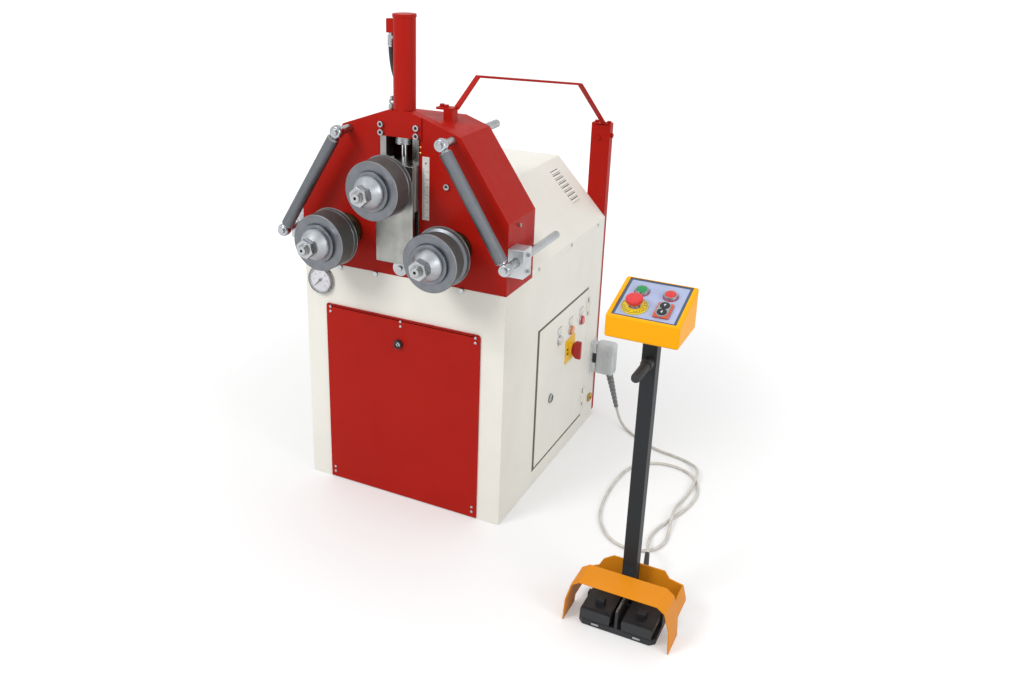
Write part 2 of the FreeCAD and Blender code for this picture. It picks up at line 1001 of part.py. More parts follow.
def bushes():
    """Bronze bushes of the lower shafts and of the drive shaft; the front ones are flanged."""
    parts = []
    for side in (-1, 1):
        x = lower_shaft_x * side
        parts.append(
            turned(
                "FrontBush",
                [
                    (bearing_bore, -dim.front_plate_thickness),
                    (bush_radius, -dim.front_plate_thickness),
                    (bush_radius, 0),
                    (dim.bush_flange_radius, 0),
                    (dim.bush_flange_radius, dim.bush_flange_thickness),
                    (bearing_bore, dim.bush_flange_thickness),
                ],
                (x, front, lower_shaft_z),
                "-y",
            )
        )
        parts.append(
            ring(
                "BackBush",
                bush_radius,
                bearing_bore,
                dim.back_plate_thickness,
                (x, head_back, lower_shaft_z),
                "-y",
            )
        )
    parts.append(
        ring(
            "DriveBush",
            dim.drive_shaft_radius + dim.bush_wall,
            dim.drive_shaft_radius + dim.running_gap,
            dim.back_plate_thickness,
            (0, head_back, drive_z),
            "-y",
        )
    )
    node("shaft_bushes", group(*parts))


def slide():
    """Rails beside the slot, and the carriage with its flange and hanging apron."""
    inner = dim.slot_width / 2 - dim.rail_width
    rails = [
        box(
            "SlideRail",
            span((inner + dim.rail_width / 2) * side, dim.rail_width),
            (rail_front, rail_front + dim.rail_depth),
            (slot_foot, slot_top),
        )
        for side in (-1, 1)
    ]
    node("slide_rails", group(*rails))

    core_half = inner - dim.slide_gap
    core = box(
        "CarriageCore",
        (-core_half, core_half),
        (flange_back, rail_front + dim.carriage_depth),
        (carriage_low, carriage_high),
    )
    flange = box(
        "CarriageFlange",
        both(dim.flange_width),
        (flange_front, flange_back),
        (carriage_low, carriage_high),
    )
    apron = box(
        "CarriageApron",
        both(dim.apron_width),
        (apron_front, flange_front),
        (top_shaft_z - dim.apron_below_axis, carriage_high),
    )
    bore = cylinder(
        "CarriageBore",
        bearing_bore,
        dim.carriage_depth + dim.flange_thickness + dim.apron_thickness + dim.flange_gap,
        (0, rail_front + dim.carriage_depth, top_shaft_z),
        "-y",
    )
    node("carriage_block", cut(fuse(core, flange, apron), bore))


# ---------------------------------------------------------------- rolls, shafts and nuts
def shaft_outline(shoulder_front, shoulder_back, tail):
    """Threaded stub, seat, shoulder and bearing length of a roll shaft, along +Y from the stub."""
    stub = cone_front
    return [
        (0, dim.centre_hole_depth),
        (dim.centre_hole_radius, dim.centre_hole_depth),
        (dim.centre_hole_radius, 0),
        (dim.stub_radius, 0),
        (dim.stub_radius, stub - nut_front + dim.stub_proud),
        (dim.shaft_radius, stub - nut_front + dim.stub_proud),
        (dim.shaft_radius, shoulder_front - nut_front + dim.stub_proud),
        (dim.shoulder_radius, shoulder_front - nut_front + dim.stub_proud),
        (dim.shoulder_radius, shoulder_back - nut_front + dim.stub_proud),
        (dim.shaft_radius, shoulder_back - nut_front + dim.stub_proud),
        (dim.shaft_radius, tail - nut_front + dim.stub_proud),
        (0, tail - nut_front + dim.stub_proud),
    ]


def roll_outline(groove):
    """Roll seen from its back face: rim ring, tread with or without a groove, front collar."""
    bore = bearing_bore
    tread = dim.roll_radius
    width = dim.roll_width
    rim = [(bore, 0), (dim.rim_radius, 0), (dim.rim_radius, dim.rim_thickness)]
    if groove:
        floor = tread - dim.groove_depth
        middle = [
            (tread, dim.rim_thickness),
            (tread, dim.groove_flange),
            (floor, dim.groove_flange + dim.groove_depth / 2),
            (floor, width - dim.groove_flange - dim.groove_depth / 2),
            (tread, width - dim.groove_flange),
        ]
    else:
        middle = [(tread, dim.rim_thickness)]
    face = [
        (tread, width - dim.roll_chamfer),
        (tread - dim.roll_chamfer, width),
        (dim.collar_radius, width),
        (dim.collar_radius, width + dim.collar_thickness),
        (bore, width + dim.collar_thickness),
    ]
    return rim + middle + face


def roll_nut(name, x, z):
    """Cone washer and hexagon nut that hold a roll on its shaft."""
    washer = turned(
        name + "Washer",
        [
            (bearing_bore, 0),
            (dim.cone_radius, 0),
            (dim.cone_radius, dim.cone_straight),
            (dim.cone_tip_radius, cone_length),
            (bearing_bore, cone_length),
        ],
        (x, collar_front, z),
        "-y",
    )
    blank = hexagon(name + "Hexagon", dim.nut_flats, dim.nut_thickness, (x, cone_front, z), "-y")
    bore = cylinder(
        name + "Thread",
        dim.stub_radius + dim.running_gap,
        dim.nut_thickness,
        (x, cone_front, z),
        "-y",
    )
    return group(washer, cut(blank, bore))


def gear(name, teeth, pitch, width, turn):
    """Spur gear along +Y from its own middle, its first tooth turned from +X by an angle text."""
    body = doc.addObject("PartDesign::Body", name)
    foot = pitch - dim.tooth_dedendum
    tip = pitch + dim.tooth_addendum
    disc_sketch = body.newObject("Sketcher::SketchObject", name + "Disc")
    plane = next(f for f in body.Origin.OriginFeatures if f.Role == "XY_Plane")
    disc_sketch.AttachmentSupport = [(plane, "")]
    disc_sketch.MapMode = "FlatFace"
    disc_sketch.addGeometry(Part.Circle(Vector(), Vector(0, 0, 1), foot.value), False)
    disc_sketch.addConstraint(Sketcher.Constraint("Coincident", 0, 3, -1, 1))
    rule = disc_sketch.addConstraint(Sketcher.Constraint("Radius", 0, foot.value))
    disc_sketch.setExpression(f"Constraints[{rule}]", foot.text)
    disc = body.newObject("PartDesign::Pad", name + "DiscPad")
    disc.Profile = disc_sketch
    bind(disc, "Length", width)
    inside = foot - dim.tooth_dedendum
    tooth_sketch = outline_sketch(
        body,
        "XY_Plane",
        [
            (inside, -dim.tooth_root_width / 2),
            (foot, -dim.tooth_root_width / 2),
            (tip, -dim.tooth_tip_width / 2),
            (tip, dim.tooth_tip_width / 2),
            (foot, dim.tooth_root_width / 2),
            (inside, dim.tooth_root_width / 2),
        ],
    )
    tooth = body.newObject("PartDesign::Pad", name + "Tooth")
    tooth.Profile = tooth_sketch
    bind(tooth, "Length", width)
    row = body.newObject("PartDesign::PolarPattern", name + "Teeth")
    row.Originals = [tooth]
    row.Axis = (tooth_sketch, ["N_Axis"])
    row.Angle = 360
    row.setExpression("Occurrences", teeth.text)
    body.Tip = row
    body.Placement = FreeCAD.Placement(Vector(), Rotation(Vector(0, 0, 1), turn.value))
    body.setExpression("Placement.Rotation.Angle", turn.text)
    return body


def rolls():
    """Three roll shafts with their rolls and nuts, and the gears that join the lower two."""
    start = nut_front - dim.stub_proud
    top_tail = rail_front + dim.carriage_depth + dim.bush_flange_gap
    top = turned(
        "TopShaft",
        shaft_outline(roll_back, apron_front - dim.bush_flange_gap, top_tail),
        (0, start, top_shaft_z),
        "+y",
    )
    node("top_shaft", top)
    shoulder_end = front - dim.bush_flange_thickness - dim.bush_flange_gap
    # Gap and tooth of the meshing pair lie on the line of centres, measured from +X
    line = f"atan2({gear_drop.text}; {lower_shaft_x.text})"
    line_now = math.degrees(math.atan2(gear_drop.value, lower_shaft_x.value))
    step = 360 / SIZES["drive_teeth"]
    lag_now = (line_now / step - math.floor(line_now / step)) * step
    lag = f"mod({line}; 360 deg / {dim.drive_teeth.text})"
    ratio = dim.drive_teeth / dim.pinion_teeth
    half_pitch = f"180 deg / {dim.pinion_teeth.text}"
    right_turn = Size(
        180 + line_now + lag_now * ratio.value + 180 / SIZES["pinion_teeth"],
        f"180 deg + {line} + {lag} * {ratio.text} + {half_pitch}",
    )
    left_turn = Size(180 - right_turn.value, f"180 deg - ({right_turn.text})")
    for name, side, turn in (("Left", -1, left_turn), ("Right", 1, right_turn)):
        x = lower_shaft_x * side
        shaft = turned(
            name + "Shaft",
            shaft_outline(roll_back, shoulder_end, head_back + dim.shaft_tail),
            (x, start, lower_shaft_z),
            "+y",
        )
        teeth = gear(name + "Pinion", dim.pinion_teeth, pinion_pitch, dim.gear_width, turn)
        seated = group(teeth)
        seat(seated, (x, gear_front + dim.gear_width, lower_shaft_z), TURNS["-y"])
        node(name.lower() + "_shaft", fuse(shaft, seated))
    drive_angle = Size(0, "0 deg")
    drive = gear("DriveWheel", dim.drive_teeth, drive_pitch, dim.gear_width, drive_angle)
    drive_seated = group(drive)
    seat(drive_seated, (0, gear_front + dim.gear_width, drive_z), TURNS["-y"])
    spindle = cylinder(
        "DriveSpindle",
        dim.drive_shaft_radius,
        dim.gearbox_front - dim.gear_setback - dim.bush_flange_gap,
        (0, gear_front, drive_z),
        "+y",
    )
    node("drive_gear", fuse(drive_seated, spindle))

    places = (
        ("top", 0, top_shaft_z, False),
        ("left", -lower_shaft_x, lower_shaft_z, False),
        ("right", lower_shaft_x, lower_shaft_z, True),
    )
    for name, x, z, groove in places:
        tyre = turned(name.title() + "Roll", roll_outline(groove), (x, roll_back, z), "-y")
        node(name + "_roll", tyre)
        node(name + "_roll_nut", roll_nut(name.title() + "Nut", x, z))


# ---------------------------------------------------------------- hydraulic cylinder
def hydraulic_cylinder():
    """Barrel on its bridge plate, the piston rod on the carriage, and the hose beside it."""
    barrel = cylinder(
        "Barrel", dim.cylinder_radius, dim.cylinder_length, (0, cylinder_y, slot_top)
    )
    rim = cylinder(
        "BarrelRim",
        dim.cylinder_radius + dim.cylinder_rim,
        dim.cylinder_rim_height,
        (0, cylinder_y, cylinder_high - dim.cylinder_rim_height),
    )
    edge = dim.slot_width / 2 + dim.bridge_overlap
    peak = dim.peak_width / 2
    fall = (dim.peak_rise - dim.crown_rise) / (dim.crown_width / 2 - peak)
    edge_z = peak_z - fall * (edge - peak)
    outline = [
        (-edge, slot_top),
        (edge, slot_top),
        (edge, edge_z),
        (peak, peak_z),
        (-peak, peak_z),
        (-edge, edge_z),
    ]
    bridge = prism("BridgePlate", "XZ", outline, front - dim.bridge_thickness, front)
    port = box(
        "PortBlock",
        (-dim.cylinder_radius - dim.port_block_width, as_size(0)),
        span(cylinder_y, dim.port_block_width),
        (cylinder_high - dim.port_block_height * 1.4, cylinder_high - dim.port_block_height * 0.4),
    )
    bore = cylinder(
        "BarrelBore",
        dim.cylinder_bore_radius,
        dim.cylinder_length - dim.cylinder_cap * 2,
        (0, cylinder_y, slot_top + dim.cylinder_cap),
    )
    rod_hole = cylinder(
        "RodHole",
        dim.rod_radius + dim.running_gap,
        dim.cylinder_cap + dim.gland_height,
        (0, cylinder_y, slot_top - dim.gland_height),
    )
    gland = cylinder(
        "RodGland",
        dim.gland_radius,
        dim.gland_height,
        (0, cylinder_y, slot_top - dim.gland_height),
    )
    node("cylinder_barrel", cut(fuse(barrel, rim, bridge, port, gland), bore, rod_hole))

    piston_radius = dim.cylinder_bore_radius - dim.running_gap
    piston = turned(
        "PistonRod",
        [
            (0, 0),
            (dim.rod_radius, 0),
            (dim.rod_radius, dim.piston_rise),
            (piston_radius, dim.piston_rise),
            (piston_radius, dim.piston_rise + dim.piston_height),
            (0, dim.piston_rise + dim.piston_height),
        ],
        (0, cylinder_y, carriage_high),
    )
    node("piston_rod", piston)

    port_z = cylinder_high - dim.port_block_height * 1.4
    hose_x = -dim.hose_offset + dim.fitting_radius
    upper = cylinder(
        "UpperFitting", dim.fitting_radius, dim.fitting_length, (hose_x, cylinder_y, port_z), "-z"
    )
    hose_top = port_z - dim.fitting_length
    hose_foot = ridge_z + dim.fitting_length / 2
    run = hose_top - hose_foot
    route = [
        Vector(hose_x.value, cylinder_y.value, hose_top.value),
        Vector(hose_x.value, cylinder_y.value + 4, hose_top.value - run.value * 0.3),
        Vector(hose_x.value + 8, cylinder_y.value + 22, hose_top.value - run.value * 0.6),
        Vector(hose_x.value + 20, cylinder_y.value + 48, hose_top.value - run.value * 0.85),
        Vector(hose_x.value + 24, cylinder_y.value + 58, hose_foot.value),
    ]
    hose = doc.addObject("Part::Feature", "Hose")
    hose.Shape = tube_along(route, dim.hose_radius.value)
    seat(hose, (0, 0, 0))
    lower = cylinder(
        "LowerFitting",
        dim.fitting_radius,
        dim.fitting_length / 2,
        (hose_x + 24, cylinder_y + 58, ridge_z),
    )
    elbow_x = -dim.cylinder_radius - dim.fitting_radius * 1.6
    elbow_y = plate_back + dim.fitting_radius
    elbow = cylinder(
        "Elbow", dim.fitting_radius, dim.elbow_height, (elbow_x, elbow_y, ridge_z)
    )
    elbow_arm = cylinder(
        "ElbowArm",
        dim.fitting_radius * 0.8,
        -elbow_x - dim.cylinder_radius,
        (elbow_x, elbow_y, ridge_z + dim.elbow_height * 0.7),
        "+x",
    )
    node("cylinder_hose", group(upper, hose, lower, fuse(elbow, elbow_arm)))


# ---------------------------------------------------------------- cords
def tube_along(route, radius):
    """Round tube along straight runs joined by arcs that are as large as the runs allow."""
    trim_share = 0.45
    edges = []
    start = route[0]
    tightest = None
    for before, corner, after in zip(route, route[1:], route[2:]):
        toward = (before - corner).normalize()
        away = (after - corner).normalize()
        trim = trim_share * min(before.distanceToPoint(corner), after.distanceToPoint(corner))
        half_turn = (math.pi - toward.getAngle(away)) / 2
        bend = trim / math.tan(half_turn)
        tightest = bend if tightest is None else min(tightest, bend)
        enter = corner + toward * trim
        leave = corner + away * trim
        inward = (toward + away).normalize()
        centre_gap = math.hypot(bend, trim)
        middle = corner + inward * (centre_gap - bend)
        edges.append(Part.LineSegment(start, enter).toShape())
        edges.append(Part.Arc(enter, middle, leave).toShape())
        start = leave
    edges.append(Part.LineSegment(start, route[-1]).toShape())
    wire = Part.Wire(edges)
    section = Part.Wire([Part.makeCircle(radius, route[0], route[1] - route[0])])
    tube = wire.makePipeShell([section], True, False)
    expected = math.pi * radius * radius * wire.Length
    print(
        f"tube of radius {radius}: length {wire.Length:.0f}, tightest bend {tightest:.0f}, "
        f"volume over section times length {tube.Volume / expected:.4f}"
    )
    return tube


def control_cord():
    """Grey cord from the plug to the foot pedal."""
    cord = doc.addObject("Part::Feature", "ControlCord")
    route = [Vector(*point) for point in CORD_ROUTE]
    cord.Shape = tube_along(route, dim.cord_diameter.value / 2)
    node("control_cord", seat(cord, (0, 0, 0)))


# ---------------------------------------------------------------- gauge
def gauge():
    """Flanged gauge case with a recessed dial, and its needle on a pin."""
    radius = dim.gauge_radius
    dial = dim.gauge_proud - dim.gauge_recess
    lip = radius - dim.gauge_rim
    case = turned(
        "GaugeCase",
        [
            (0, 0),
            (radius, 0),
            (radius, dial - 4),
            (lip + 2, dim.gauge_proud),
            (lip, dim.gauge_proud),
            (lip, dial),
            (0, dial),
        ],
        (-dim.gauge_offset, front, gauge_z),
        "-y",
    )
    pin_hole = cylinder(
        "NeedlePinHole",
        dim.needle_pin_radius + dim.running_gap,
        dial / 2,
        (-dim.gauge_offset, front - dial / 2, gauge_z),
        "-y",
    )
    node("gauge_body", cut(case, pin_hole))

    thick = dim.needle_thickness
    blade = box(
        "NeedleBlade",
        both(dim.needle_width),
        (-thick * 2, -thick),
        (-dim.needle_length, dim.needle_length / 4),
    )
    hub = cylinder("NeedleHub", dim.needle_width, thick * 2, (0, -thick / 2, 0), "-y")
    pin = cylinder("NeedlePin", dim.needle_pin_radius, dial / 2 + thick, (0, dial / 2, 0), "-y")
    needle = group(fuse(blade, hub, pin))
    zero_stop = Rotation(Vector(0, 1, 0), NEEDLE_ZERO_ANGLE)
    node("gauge_needle", seat(needle, (-dim.gauge_offset, front - dial, gauge_z), zero_stop))


# The needle rests this many degrees round from straight down, towards the left
NEEDLE_ZERO_ANGLE = 45


# ---------------------------------------------------------------- lateral guides
def guide_rod(name, side, x, z, tail):
    """Guide rod along Y with a thinner axle and a retaining head in front."""
    eye_half = dim.guide_eye_width / 2
    head_front = guide_y - eye_half - dim.guide_eye_gap - dim.guide_axle_head_length
    head_back_at = dim.guide_axle_head_length
    axle_end = head_back_at + dim.guide_eye_width + dim.guide_eye_gap * 2
    return turned(
        name,
        [
            (0, 0),
            (dim.guide_axle_head, 0),
            (dim.guide_axle_head, head_back_at),
            (dim.guide_axle_radius, head_back_at),
            (dim.guide_axle_radius, axle_end),
            (dim.guide_rod_radius, axle_end),
            (dim.guide_rod_radius, front + tail - head_front),
            (0, front + tail - head_front),
        ],
        (x * side, head_front, z),
        "+y",
    )


def guide_eye(name, bore_gap, height):
    """Rod eye with rounded rims, its bore along Y, at a height in the arm's own frame."""
    radius = dim.guide_eye_radius
    width = dim.guide_eye_width
    bore = dim.guide_axle_radius + bore_gap
    return turned(
        name,
        [
            (bore, 0),
            (radius * 0.75, 0),
            (radius, width * 0.3),
            (radius, width * 0.7),
            (radius * 0.75, width),
            (bore, width),
        ],
        (0, width / 2, height),
        "-y",
    )


def guide_arm(name):
    """Core rod between two eyes, hanging down from the upper one in its own frame."""
    inset = dim.guide_eye_radius * 0.9
    core = cylinder(
        name + "Core", dim.guide_core_radius, guide_length - inset * 2, (0, 0, inset - guide_length)
    )
    upper = guide_eye(name + "UpperEye", dim.upper_eye_gap, 0)
    lower = guide_eye(name + "LowerEye", dim.lower_eye_gap, -guide_length)
    return fuse(core, upper, lower)


def guides():
    """Rods, clamp blocks, arms and their rollers on both sides of the head."""
    upper = []
    clamps = []
    for name, side in (("Left", -1), ("Right", 1)):
        upper.append(
            guide_rod(
                name + "UpperRod", side, dim.upper_guide_offset, upper_guide_z, dim.upper_guide_tail
            )
        )
        lower = guide_rod(
            name + "LowerRod", side, lower_guide_x, lower_guide_z, dim.lower_guide_tail
        )
        node(name.lower() + "_lower_rod", lower)
        block = box(
            name + "Clamp",
            span(lower_guide_x * side, dim.clamp_width),
            (front, front + dim.clamp_depth),
            span(lower_guide_z - dim.guide_rod_radius / 3, dim.clamp_height),
        )
        bore = cylinder(
            name + "ClampBore",
            dim.guide_rod_radius + dim.running_gap,
            dim.clamp_depth,
            (lower_guide_x * side, front + dim.clamp_depth, lower_guide_z),
            "-y",
        )
        clamps.append(cut(block, bore))

        place = (dim.upper_guide_offset * side, guide_y, upper_guide_z)
        swing = Vector(0, -side, 0)
        arm = group(guide_arm(name + "Arm"))
        node(name.lower() + "_guide_arm", tilt(arm, place, swing, guide_across, guide_down))
        roller = ring(
            name + "Roller",
            dim.guide_roller_radius,
            dim.guide_core_radius + dim.running_gap,
            guide_length - dim.guide_roller_inset * 2,
            (0, 0, dim.guide_roller_inset - guide_length),
        )
        seated = group(roller)
        node(name.lower() + "_guide_roller", tilt(seated, place, swing, guide_across, guide_down))
    node("upper_guide_rods", group(*upper))
    node("guide_clamps", group(*clamps))


# ---------------------------------------------------------------- mast and lifting bow
def mast_and_bow():
    """Box mast behind the cabinet, and the flat bar that runs from it over to the head."""
    x = span(dim.mast_offset, dim.mast_width)
    outer = box("Mast", x, (back, mast_back), (dim.mast_low, mast_high))
    inner = box(
        "MastInside",
        (x[0] + dim.mast_wall, x[1] - dim.mast_wall),
        (back + dim.mast_wall, mast_back - dim.mast_wall),
        (dim.mast_low, mast_high - dim.mast_wall),
    )
    node("mast", cut(outer, inner))

    # The bar is drawn in its own upright plane and turned to run from the lug to the mast
    foot_x = dim.bow_pad_right - dim.bow_width / 2
    foot_y = front + dim.bow_pad_back - dim.bow_plate
    end_y = back + dim.bow_plate
    run_x = dim.mast_offset - foot_x
    run_y = end_y - foot_y
    reach = root_of(run_x * run_x + run_y * run_y)
    rise_foot = deck + dim.bow_foot_rise
    high_at = reach * (dim.bow_high_setback - dim.bow_pad_back) / (
        dim.cabinet_depth - dim.bow_pad_back
    )
    low_at = reach * (dim.bow_low_setback - dim.bow_pad_back) / (
        dim.cabinet_depth - dim.bow_pad_back
    )
    high = deck + dim.bow_high_rise
    low = deck + dim.bow_low_rise
    thick = dim.bow_plate
    bar = prism(
        "BowBar",
        "YZ",
        [
            (0, rise_foot),
            (high_at, high),
            (low_at, low),
            (reach, mast_high),
            (reach, mast_high + thick * 1.4),
            (low_at + thick * 0.5, low + thick),
            (high_at, high + thick),
            (0, rise_foot + thick * 1.4),
        ],
        -dim.bow_width / 2,
        dim.bow_width / 2,
    )
    tilt(bar, (foot_x, foot_y, 0), Vector(0, 0, -1), run_x, run_y)
    place = group(bar)
    pad = box(
        "BowFootPad",
        (dim.bow_pad_left, dim.bow_pad_right),
        (front + dim.bow_pad_front, front + dim.bow_pad_back),
        (rise_foot, rise_foot + thick),
    )
    cap = box("BowMastPad", x, (back, mast_back), (mast_high, mast_high + thick))
    node("lifting_bow", fuse(place, pad, cap))


# ---------------------------------------------------------------- side door
door_front = front + dim.door_opening_front + dim.door_gap
door_back = front + dim.door_opening_back - dim.door_gap
door_low = dim.door_opening_low + dim.door_gap
door_high = dim.door_opening_high - dim.door_gap
door_face = half_width + dim.door_proud
hinge_x = half_width + dim.hinge_standoff
hinge_y = front + dim.door_opening_back


def side_door():
    """Door plate with its return rim, hinge knuckles, indicator lamps and switch plate."""
    plate = box(
        "DoorPlate",
        (door_face - dim.door_thickness, door_face),
        (door_front, door_back),
        (door_low, door_high),
    )
    rim_x = (door_face - dim.door_rim, door_face - dim.door_thickness)
    rim_outer = box("DoorRim", rim_x, (door_front, door_back), (door_low, door_high))
    rim_inner = box(
        "DoorRimInside",
        rim_x,
        (door_front + dim.door_thickness, door_back - dim.door_thickness),
        (door_low + dim.door_thickness, door_high - dim.door_thickness),
    )
    leaves = []
    for centre in hinge_centres():
        z = span(centre, dim.hinge_length / 2)
        leaves.append(
            box(
                "HingeLeaf",
                (door_face, hinge_x),
                (hinge_y - dim.hinge_radius * 4, hinge_y),
                z,
            )
        )
        leaves.append(
            cylinder("HingeKnuckle", dim.hinge_radius, dim.hinge_length / 2, (hinge_x, hinge_y, z[0]))
        )
    plate_y = span(front + dim.switch_setback, dim.switch_plate_size)
    switch_plate = box(
        "SwitchPlate",
        (door_face, door_face + dim.switch_plate_thickness),
        plate_y,
        span(dim.switch_height, dim.switch_plate_size),
    )
    boss = cylinder(
        "SwitchBoss",
        dim.switch_boss_radius,
        dim.switch_boss_height,
        (door_face + dim.switch_plate_thickness, front + dim.switch_setback, dim.switch_height),
        "+x",
    )
    lamps = []
    for i in range(LAMP_COUNT):
        at = (door_face, front + dim.lamp_first_setback + dim.lamp_step * i, dim.lamp_height)
        lamps.append(
            turned(
                "Lamp",
                [
                    (0, 0),
                    (dim.lamp_radius, 0),
                    (dim.lamp_radius, dim.lamp_proud * 0.7),
                    (dim.lamp_lens_radius + 1, dim.lamp_proud),
                    (dim.lamp_lens_radius, dim.lamp_proud),
                    (dim.lamp_lens_radius * 0.7, dim.lamp_proud + dim.lamp_lens_proud),
                    (0, dim.lamp_proud + dim.lamp_lens_proud),
                ],
                at,
                "+x",
            )
        )
    body = fuse(plate, cut(rim_outer, rim_inner), *leaves, switch_plate, boss, *lamps)
    pin_holes = [
        cylinder(
            "HingePinHole",
            dim.hinge_pin_radius + dim.running_gap,
            dim.hinge_length,
            (hinge_x, hinge_y, centre - dim.hinge_length / 2),
        )
        for centre in hinge_centres()
    ]
    lock_hole = cylinder(
        "DoorLockHole",
        dim.lock_stem_radius + dim.running_gap,
        dim.door_thickness,
        (door_face - dim.door_thickness, front + dim.lock_setback, dim.lock_height),
        "+x",
    )
    stem_hole = cylinder(
        "SwitchStemHole",
        dim.switch_stem_radius + dim.running_gap,
        dim.switch_boss_height,
        (door_face + dim.switch_plate_thickness, front + dim.switch_setback, dim.switch_height),
        "+x",
    )
    node("side_door", cut(body, *pin_holes, lock_hole, stem_hole))


# The door carries three indicator lamps
LAMP_COUNT = 3


def hinge_centres():
    """Heights of the middles of the two hinges."""
    return (door_low + dim.hinge_inset, door_high - dim.hinge_inset)


def door_furniture():
    """Hinges on the shell, the cam lock, the rotary switch handle and the earth stud."""
    parts = []
    for centre in hinge_centres():
        parts.append(
            cylinder(
                "HingePin",
                dim.hinge_pin_radius,
                dim.hinge_length / 2,
                (hinge_x, hinge_y, centre - dim.hinge_length / 4),
            )
        )
        for end in (-1, 1):
            knuckle_centre = centre + dim.hinge_length * 0.38 * end
            z = span(knuckle_centre, dim.hinge_length * 0.24)
            knuckle = cylinder(
                "ShellKnuckle", dim.hinge_radius, dim.hinge_length * 0.24, (hinge_x, hinge_y, z[0])
            )
            leaf = box(
                "ShellLeaf",
                (half_width, hinge_x),
                (hinge_y, hinge_y + dim.hinge_radius * 4),
                z,
            )
            parts.append(fuse(knuckle, leaf))
    node("door_hinges", fuse(*parts))

    stem_back = dim.door_rim
    lock = turned(
        "DoorLock",
        [
            (0, -stem_back),
            (dim.lock_stem_radius, -stem_back),
            (dim.lock_stem_radius, dim.running_gap),
            (dim.lock_radius, dim.running_gap),
            (dim.lock_radius, dim.lock_proud - 1),
            (dim.lock_radius - 1, dim.lock_proud),
            (0, dim.lock_proud),
        ],
        (door_face, front + dim.lock_setback, dim.lock_height),
        "+x",
    )
    slot = box(
        "LockSlot",
        (door_face + dim.lock_proud / 2, door_face + dim.lock_proud),
        span(front + dim.lock_setback, 3),
        span(dim.lock_height, dim.lock_radius),
    )
    node("door_lock", cut(lock, slot))

    boss_face = door_face + dim.switch_plate_thickness + dim.switch_boss_height
    disc_face = boss_face + dim.bush_flange_gap
    disc = cylinder(
        "SwitchDisc",
        dim.switch_handle_radius,
        dim.switch_handle_height,
        (disc_face, front + dim.switch_setback, dim.switch_height),
        "+x",
    )
    grip = box(
        "SwitchGrip",
        (disc_face, disc_face + dim.switch_handle_height + dim.switch_grip_height),
        span(front + dim.switch_setback, dim.switch_grip_width),
        span(dim.switch_height, dim.switch_handle_radius * 1.9),
    )
    stem = cylinder(
        "SwitchStem",
        dim.switch_stem_radius,
        dim.switch_boss_height,
        (boss_face - dim.switch_boss_height / 2, front + dim.switch_setback, dim.switch_height),
        "+x",
    )
    node("switch_handle", fuse(disc, grip, stem))


def connector():
    """Panel socket on the side wall, and the hooded plug with its ribbed sleeve."""
    y = span(front + dim.socket_setback, dim.socket_width)
    socket_face = half_width + dim.socket_proud
    base = box("Socket", (half_width, socket_face), y, (dim.socket_low, dim.socket_high))
    stud = cylinder(
        "EarthStud",
        dim.earth_radius,
        dim.earth_proud,
        (half_width, front + dim.earth_setback, dim.earth_height),
        "+x",
    )
    node("plug_socket", group(base, stud))

    low = dim.socket_low + dim.plug_inset
    high = dim.socket_high
    reach = socket_face + dim.plug_reach
    hood_body = prism(
        "PlugHood",
        "XZ",
        [
            (socket_face, low),
            (reach - dim.plug_round / 2, low),
            (reach, low + dim.plug_round / 2),
            (reach, high - dim.plug_round),
            (reach - dim.plug_round * 0.3, high - dim.plug_round * 0.3),
            (reach - dim.plug_round, high),
            (socket_face, high),
        ],
        y[0] + 1,
        y[1] - 1,
    )
    tip = Vector(*CORD_ROUTE[0])
    lean = tip - Vector(*CORD_ROUTE[1])
    lean.normalize()
    sleeve_foot = Vector(reach.value - 18, tip.y, low.value + 2)
    axis = sleeve_foot - tip
    sleeve = doc.addObject("Part::Feature", "PlugSleeve")
    sleeve.Shape = Part.makeCone(
        dim.sleeve_tip_radius.value, dim.sleeve_radius.value, axis.Length, tip, axis
    )
    seat(sleeve, (0, 0, 0))
    node("plug", fuse(hood_body, sleeve))


# ---------------------------------------------------------------- console
slope_rise = dim.console_back_rise - dim.console_front_rise
console_left = post_x - dim.console_width / 2
panel_left = (dim.console_width - dim.console_panel_width) / 2
panel_foot = (console_slope - dim.console_panel_length) / 2
panel_top = -dim.console_panel_sink
panel_under = panel_top - dim.console_panel_thickness
SLOPE_AXIS = Vector(1, 0, 0)


def on_slope(item):
    """Carry a piece from the console's own frame (across, up the slope, outward) to its place."""
    at = (console_left, console_front, dim.console_height + dim.console_front_rise)
    return tilt(group(item), at, SLOPE_AXIS, slope_rise, dim.console_depth)


